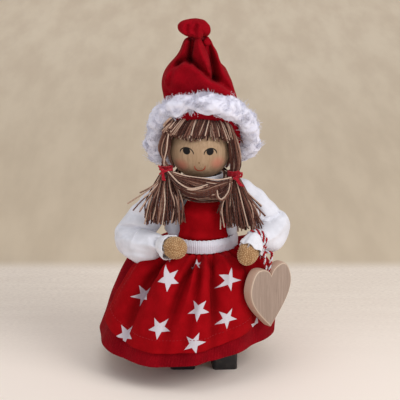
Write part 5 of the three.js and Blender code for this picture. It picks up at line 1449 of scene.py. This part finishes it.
def fur_ring(radius):
    """The fur band's roll, which hangs lower beside the face."""
    wide = HAT_RIM * 1.05 + 3.06
    deep = HAT_RIM * 1.14 + 3.06
    lean = HAT_TILT * 0.95
    centre = HEAD + np.array([0.018, 0.11, 0.105]) * HAT_HEIGHT
    across = np.array([0, math.sin(lean), math.cos(lean)])
    turn = round_angles(260)[:, None]
    angle = round_angles(48)[None]

    def ring(half_width, half_depth):
        back = -half_depth * np.cos(turn)
        return np.stack([half_width * np.sin(turn), back * math.cos(lean), -back * math.sin(lean)], axis=-1)

    hangs = hump(turn, 108, 27) + 1.4 * hump(turn, -108, 27)
    over_lip = hump(turn, 28, 38)
    middle = centre + ring(wide, deep) + hangs[..., None] * (0, -1.5, -4.4) + over_lip[..., None] * (0, -0.3,
        -1.1)
    size = radius * (1 + 0.07 * np.sin(5 * turn) + 0.06 * np.sin(11 * turn + 1) + 0.14 * hangs + 0.1
                     * over_lip)
    way = ring(1, 1) * np.cos(angle)[..., None] + across * np.sin(angle)[..., None]
    points = middle + way * (size + 0 * angle)[..., None]
    return points + way * (1.0 * wander(points, 3.8, 17) + 0.25 * wander(points, 1.7, 18))[..., None]


def make_fur():
    points = fur_ring(5.35)
    points = np.concatenate([points, points[:1]])
    base = skin("fur_band_base", points)
    finish(base, FUR, "doll", ("hat_fur_band",))
    for k in range(6):
        source = skin(f"fur source {k}", points)
        hairs = grow(f"fur_band_hairs_{k + 1}", source, "fur", FUR, Hairs_per_square_metre=2.1e6,
                     Hair_length=0.0042 + 0.0007 * (k % 3), Hair_thickness=0.00019, Lean=0.86,
                     Tuft_size=0.0044,
                     Seed=11 + k)
        finish(hairs, FUR, "doll")


# Arms

def arm_path(side):
    """The elbow, the lower arm's middle, the cuff's gathering, the cuff and the way from the elbow to it."""
    elbow, cuff = ELBOWS[side], CUFFS[side]
    along = unit(cuff - elbow)
    return elbow, elbow + (cuff - elbow) * 0.4, cuff - along * 7.5, cuff, along


SLEEVE_STROKES = {
    "right": [([(118, 226), (134, 227), (150, 233), (158, 240)], 3.6, 1.8, -2.2),
              ([(124, 238), (138, 243), (152, 246)], 3.4, 2.0, 1.0),
              ([(126, 208), (138, 214), (150, 222)], 3.4, 1.8, -1.1),
              ([(148, 232), (153, 242), (163, 250)], 2.4, 2.4, -1.2),
              ([(140, 199), (152, 207), (158, 216)], 3.0, 2.0, -1.0),
              ([(122, 252), (136, 253), (150, 256)], 2.5, 2.5, -0.7)],
    "left": [([(283, 211), (271, 219), (257, 230)], 1.7, 3.4, -2.8),
             ([(286, 224), (276, 236), (262, 243)], 3.2, 2.0, 1.0),
             ([(262, 198), (272, 208), (282, 215)], 1.8, 3.2, -1.1),
             ([(262, 236), (254, 246)], 2.4, 2.4, -1.2),
             ([(256, 206), (264, 217), (270, 222)], 3.0, 2.0, -0.9),
             ([(290, 232), (282, 246)], 2.5, 2.5, -0.6)],
}


def sleeve(name, path, radii, strokes, seed, domes):
    """A stuffed sleeve piece: a swelling tube with creases and a round end on each side."""
    points, out = tube_grid(path, radii, 96, 80)
    points = points + out * (0.4 * wander(points * [1, 1, 1.6], 7, seed))[..., None]
    points = sculpt(points, out, strokes)
    steps = np.linspace(0, math.pi / 2, 14)[1:-1]
    ends = []
    for ring, inner, dome in ((points[0], points[1], domes[0]), (points[-1], points[-2], domes[1])):
        centre = ring.mean(axis=0)
        way = unit(centre - inner.mean(axis=0)) * dome
        ends.append([centre + (ring - centre) * math.cos(q) + way * math.sin(q) for q in steps])
    return skin(name, np.concatenate([ends[0][::-1], points, ends[1]]), caps=(True, True), flip=True)


# Radii along the upper and the lower sleeve, how far the middle of each is moved, and the elbow
SLEEVE_RADII = {"right": ([8.8, 9.9, 9.4], [9.4, 10.8, 5.8, 4.5]),
                "left": ([9.4, 9.9, 7.6], [9.4, 9.4, 5.4, 4.5])}
SLEEVE_SHIFT = {"right": ((0.0, 0.0, 0.3), (1.2, 0.0, -3.6)), "left": ((-0.4, 0.0, 1.6), (0.2, 0.0, -0.2))}
ELBOW_SHIFT = {"right": (0.0, 0.0, 0.0), "left": (-2.3, 0.0, 4.8)}


# How far the cuff's frill and the hand's middle lie past the cuff, and how slim the hand is across
FRILL_REACH = {"right": 4.8, "left": 4.2}
HAND_REACH = {"right": 8.6, "left": 6.8}
HAND_SLIM = {"right": 1.0, "left": 0.9}
HAND_HALF_LENGTH = 7.4
HAND_RADIUS = 6.1


def make_sleeves(side):
    shoulder = SHOULDERS[side]
    elbow, middle, gather, cuff, _ = arm_path(side)
    bend = elbow + ELBOW_SHIFT[side]
    puff, droop = (np.array(shift) for shift in SLEEVE_SHIFT[side])
    upper_path = [shoulder, shoulder + (elbow - shoulder) * 0.5 + puff, bend]
    lower_path = [bend + droop * 0.4, middle + droop, gather + (cuff - gather) * 0.1, cuff]
    upper_radii, lower_radii = SLEEVE_RADII[side]
    for part, body, path, radii, seed, domes in (
            ("upper", "upper_arm", upper_path, upper_radii, 40, (8.4, 7.0)),
            ("lower", "forearm", lower_path, lower_radii, 50, (8.6, 0.6))):
        piece = sleeve(f"{part}_sleeve_{side}_cloth", path, radii, SLEEVE_STROKES[side], seed + SIGNS[side],
                       domes)
        finish(piece, WHITE_KNIT, f"{body}_{side}", (f"{part}_sleeve_{side}",))


def make_cuff(side, rng):
    """The frill past the cuff's gathering, round the hand, with its loose threads."""
    columns, rows, sign = 160, 26, SIGNS[side]
    _, _, gather, cuff, along = arm_path(side)
    hand_way = unit(HAND_AXES[side])
    reach = FRILL_REACH[side]
    path = np.array([cuff - along * 2.0, cuff, cuff + hand_way * 0.48 * reach, cuff + hand_way * reach])
    points, out = tube_grid(path, [4.3, 4.9, 5.8, 6.0], columns, rows)
    turn = round_angles(columns)[None]
    share = np.linspace(0, 1, rows)[:, None]
    ruffle = np.sin(6 * turn + 1.2 * np.sin(2 * turn + sign)) + 0.25 * np.sin(13 * turn + 2)
    hangs = ease((-out[..., 2] - 0.1) / 0.8) * share ** 2
    waves = hand_way * (np.sin(5 * turn + sign) * share * 0.5)[..., None]
    points = points + out * (ruffle * share * 0.5 + 1.3 * hangs)[..., None] + waves
    frill = wall(skin(f"cuff_frill_{side}", points, flip=True), 0.8)
    finish(frill, CUFF_KNIT_PAINTED_LIGHTER, f"forearm_{side}")
    runs = []
    for k in rng.choice(columns, 14, replace=False):
        start = points[-1][k]
        way = hand_way * rng.uniform(0.8, 2.2) + np.array([0, 0, -rng.uniform(0.3, 1.6)]) + rng.normal(0,
            0.4, 3)
        runs.append(through([start, start + way * 0.5 + rng.normal(0, 0.2, 3), start + way], 8))
    replaced = ()
    if side == "right":
        runs.append(coil((gather + cuff) / 2 + along * 1.0, along, (0, 0, 1), 4.9, 2.4, 0.9, 24))
        replaced = ("cuff_thread_right",)
    threads = strands(f"cuff_threads_{side}", runs, WHITE_THREAD, 0.22, 5, seed=6)
    finish(threads, WHITE_THREAD, f"forearm_{side}", replaced)


def make_hand(side):
    """A knitted egg with small loops."""
    hand_way = unit(HAND_AXES[side])
    aside = unit(np.cross(hand_way, UPRIGHT))
    ways = (hand_way, aside, np.cross(hand_way, aside))
    sizes = (HAND_HALF_LENGTH, HAND_RADIUS * HAND_SLIM[side], HAND_RADIUS)
    points = egg_grid(CUFFS[side] + hand_way * HAND_REACH[side], ways, sizes, 50, 70, 0.004)
    egg = skin(f"hand_{side}_cover", points, caps=(True, True))
    loops = grow(f"hand_{side}_loops", skin(f"loop source {side}", points), "loops", TAN_LOOPS,
                 Spacing=0.92 * MM, Loop_size=0.5 * MM, Seed=3)
    finish(egg, TAN_KNIT_SHADED_BETWEEN_LOOPS, f"forearm_{side}", (f"hand_{side}",))
    finish(loops, TAN_LOOPS, f"forearm_{side}")


def make_arm(side, rng):
    make_sleeves(side)
    make_cuff(side, rng)
    make_hand(side)


# Heart and twine

def bezier(p0, p1, p2, p3, count):
    """Points along a Bezier curve, without its last end."""
    t = np.linspace(0, 1, count, endpoint=False)[:, None]
    p0, p1, p2, p3 = (np.array(p, float) for p in (p0, p1, p2, p3))
    return (1 - t) ** 3 * p0 + 3 * (1 - t) ** 2 * t * p1 + 3 * (1 - t) * t * t * p2 + t**3 * p3


def heart_outline():
    """The heart's outline across and up from its notch."""
    half, top, tip = 16.9, 5.4, -31.2
    right = [((0, 0), (0.08 * half, 0.8 * top), (0.4 * half, top), (0.56 * half, top)),
             ((0.56 * half, top), (0.84 * half, top), (half, 0.1 * tip), (half, 0.2 * tip)),
             ((half, 0.2 * tip), (half, 0.5 * tip), (0.4 * half, 0.78 * tip), (0, tip))]
    side = np.concatenate([bezier(*run, 26) for run in right])
    mirror = side[1:][::-1] * [-1, 1]
    return np.concatenate([side, [[0, tip]], mirror])


def make_heart():
    outline = heart_outline()
    centre = np.array([0, -11.0])
    normal = np.cross(HEART_ACROSS, UPRIGHT)
    # The rings' insets and depths: flat in front, rounded at the edge, and the same behind
    front = [(16, 3.0), (9, 3.0), (3, 3.0), (0.9, 3.0), (0.45, 2.88), (0.12, 2.55), (0, 2.1)]
    rings = []
    for inset, depth in front + [(0, 0)] + [(inset, -depth) for inset, depth in reversed(front)]:
        flat = centre + (outline - centre) * (1 - inset / 17.5)
        rings.append(HEART_NOTCH + flat[:, :1] * HEART_ACROSS + flat[:, 1:] * UPRIGHT + depth * normal)
    piece = skin("wooden_heart", np.array(rings), caps=(True, True), flip=True)
    look, colour = wood("sawn heart wood", (0.43, 0.325, 0.265), (0.33, 0.245, 0.197), (1, 1, 0.045), 0.9,
                        0.75)
    out = look.put("ShaderNodeNewGeometry").outputs["Normal"]
    facing = look.put("ShaderNodeVectorMath", {"operation": "DOT_PRODUCT"},
                      (out, tuple(normal))).outputs["Value"]
    flatness = look.calculate("ABSOLUTE", facing)
    side = look.clamped(flatness, 0.2, 0.75, 1.0, 0.0)
    edge = look.times(look.clamped(flatness, 0.5, 0.9), look.clamped(flatness, 0.96, 0.999, 1.0, 0.0))
    colour = look.mixed(look.times(side, 0.65), colour, (0.56, 0.36, 0.26))
    look.colour(look.mixed(look.times(edge, 0.7), colour, (0.72, 0.56, 0.42)))
    finish(piece, look.material, "heart_pendant", ("heart",))


def plies(name, path, body, replaced, spread=0.5, thickness=1.12):
    """Red and white plies twisted round a path, as two pieces on one body."""
    pitch = 4.6
    path = through(path, max(int(lengths_along(path)[-1] / 0.35), 20))
    _, across, up = strand_frames(path)
    for colour, material, phase in (("red", RED_PLY, 0.0), ("white", WHITE_PLY, math.pi)):
        turn = lengths_along(path) / pitch * TAU + phase
        run = path + spread * (across * np.cos(turn)[:, None] + up * np.sin(turn)[:, None])
        piece = strands(f"{name}_{colour}_ply", [run], material, thickness, 8, seed=8)
        finish(piece, material, body, replaced if colour == "red" else ())


def make_twine():
    def hang(across, up):
        return HANGING + HEART_ACROSS * across + np.array([0, 0, up])

    _, _, gather, cuff, along = arm_path("left")
    centre = gather + (cuff - gather) * 0.6
    winding = coil(centre, along, HANGING - centre, 6.05, 2, -2.5, 14)
    path = np.concatenate([[hang(-3, 0), hang(-3, 0.95)], winding[1:-1], [hang(3, 0.95), hang(3, 0)]])
    plies("wrist_twine", path, "forearm_left", ("wrist_twine",))
    half_loop = [(-3, -0.3), (-3, -1.3), (-1.25, -8.4), (-1.25, -11.3), (-1.25, -14.2)]
    other_half = [(-across, up) for across, up in reversed(half_loop)]
    loop = np.array([hang(*place) for place in half_loop + [(0, -15.4)] + other_half])
    plies("heart_twine", loop, "heart_pendant", ("heart_twine",), 0.45, 1.0)


# Shoes

def make_shoes():
    paint = black_paint()
    for side in ("right", "left"):
        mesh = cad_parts[f"shoe_{side}"].data.copy()
        piece = link(bpy.data.objects.new(f"painted_shoe_{side}", mesh))
        piece.modifiers.new("weld", "WELD").merge_threshold = 0.00001
        bevel(piece, "round edges", 0.9, 3).angle_limit = math.radians(40)
        mesh.shade_smooth()
        finish(piece, paint, "doll", (f"shoe_{side}",))


def dress_hidden_nodes():
    """Materials for the nodes that no piece replaces."""
    looks = {"leg_dowel": BIRCH, "body_block": BIRCH, "neck_dowel": BIRCH, "wire": STEEL, "wadding": WADDING}
    for name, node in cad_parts.items():
        for word, material in looks.items():
            if word in name:
                dress(node, material)


# Stage, light and camera

def make_stage():
    """A pale table with a soft beige room behind it, on one floor and wall."""
    look = Finish("pale table and room", 0.8, specular=0.1)
    streak = look.clamped(look.noise(9, 5, stretched(look, (0.12, 1, 1))), 0.2, 0.8)
    thread = look.clamped(look.noise(0.9, 3, stretched(look, (0.35, 1, 1))), 0.35, 0.7, 0.0, 0.5)
    blotch = look.clamped(look.noise(26, 3, stretched(look, (1, 0.2, 1))), 0.3, 0.7)
    table = look.mixed(thread, look.mixed(streak, (0.90, 0.80, 0.70), (0.97, 0.875, 0.77)),
                       (0.70, 0.61, 0.53))
    room = look.mixed(blotch, (0.65, 0.54, 0.405), (0.715, 0.60, 0.455))
    far_room = look.mixed(blotch, (0.89, 0.76, 0.60), (1.0, 0.88, 0.705))
    back = look.put("ShaderNodeSeparateXYZ", args=(look.place,)).outputs[1]
    # Painted light: the table is lighter in front of the doll, which lifts the shade that the skirt casts
    # there.
    table = look.mixed(look.clamped(back, -0.04, 0.12, 1.0, 0.0), table, (1.0, 0.90, 0.815))
    room = look.mixed(look.clamped(back, 0.2, 1.1), room, far_room)
    look.colour(look.mixed(look.clamped(back, 0.150, 0.172), table, room))
    mesh = bpy.data.meshes.new("floor")
    near, behind, rise, side = -2.5, 2.0, 2.4, 3.0
    mesh.from_pydata([(-side, near, 0), (side, near, 0), (side, behind, 0), (-side, behind, 0),
                      (side, behind, rise),
                      (-side, behind, rise)], [], [(0, 1, 2, 3), (3, 2, 4, 5)])
    floor = link(bpy.data.objects.new("floor", mesh))
    floor.data.materials.append(look.material)


def make_light():
    world = bpy.data.worlds.new("soft room")
    bpy.context.scene.world = world
    world.use_nodes = True
    colour, strength = world.node_tree.nodes["Background"].inputs[:2]
    colour.default_value = (0.95, 0.96, 1.0, 1)
    strength.default_value = 0.50
    doll_middle = Vector((0, 0, 0.1))
    for name, place, size, power, tone in (
            ("key", (0.78, -0.58, 0.82), 0.65, 6.6, (1.0, 0.98, 0.96)),
            ("fill", (-0.5, -1.2, 0.40), 0.9, 1.7, (0.95, 0.97, 1.0)),
            ("top", (-0.1, -0.30, 1.1), 0.7, 1.9, (1.0, 1.0, 1.0))):
        lamp = bpy.data.lights.new(name, "AREA")
        lamp.energy, lamp.size, lamp.color = power, size, tone
        obj = link(bpy.data.objects.new(name, lamp))
        obj.location = place
        obj.rotation_euler = (doll_middle - Vector(place)).to_track_quat("-Z", "Y").to_euler()


def make_camera():
    camera = bpy.data.cameras.new("camera")
    camera.sensor_width = 36.0
    camera.lens = FOCAL_PIXELS / IMAGE_PIXELS * camera.sensor_width
    camera.clip_start, camera.clip_end = 0.05, 20
    obj = link(bpy.data.objects.new("camera", camera))
    obj.location = EYE * MM + AXIS
    obj.rotation_euler = (math.pi / 2 - CAMERA_ELEVATION, 0, 0)
    bpy.context.scene.camera = obj
    bpy.context.scene.view_settings.view_transform = "Standard"


make_camera()
make_stage()
make_light()
dress_hidden_nodes()
make_shoes()
make_skirt()
make_apron()
make_blouse()
make_bib()
make_ribbon()
make_head()
random_yarn = np.random.default_rng(2024)
make_hair_cap(random_yarn)
make_fringe(random_yarn)
for side in ("right", "left"):
    make_bunch(side, random_yarn)
    make_tail(side, random_yarn)
    make_tie(side)
    make_arm(side, random_yarn)
make_neck_wrap(random_yarn)
make_hat()
make_fur()
make_heart()
make_twine()
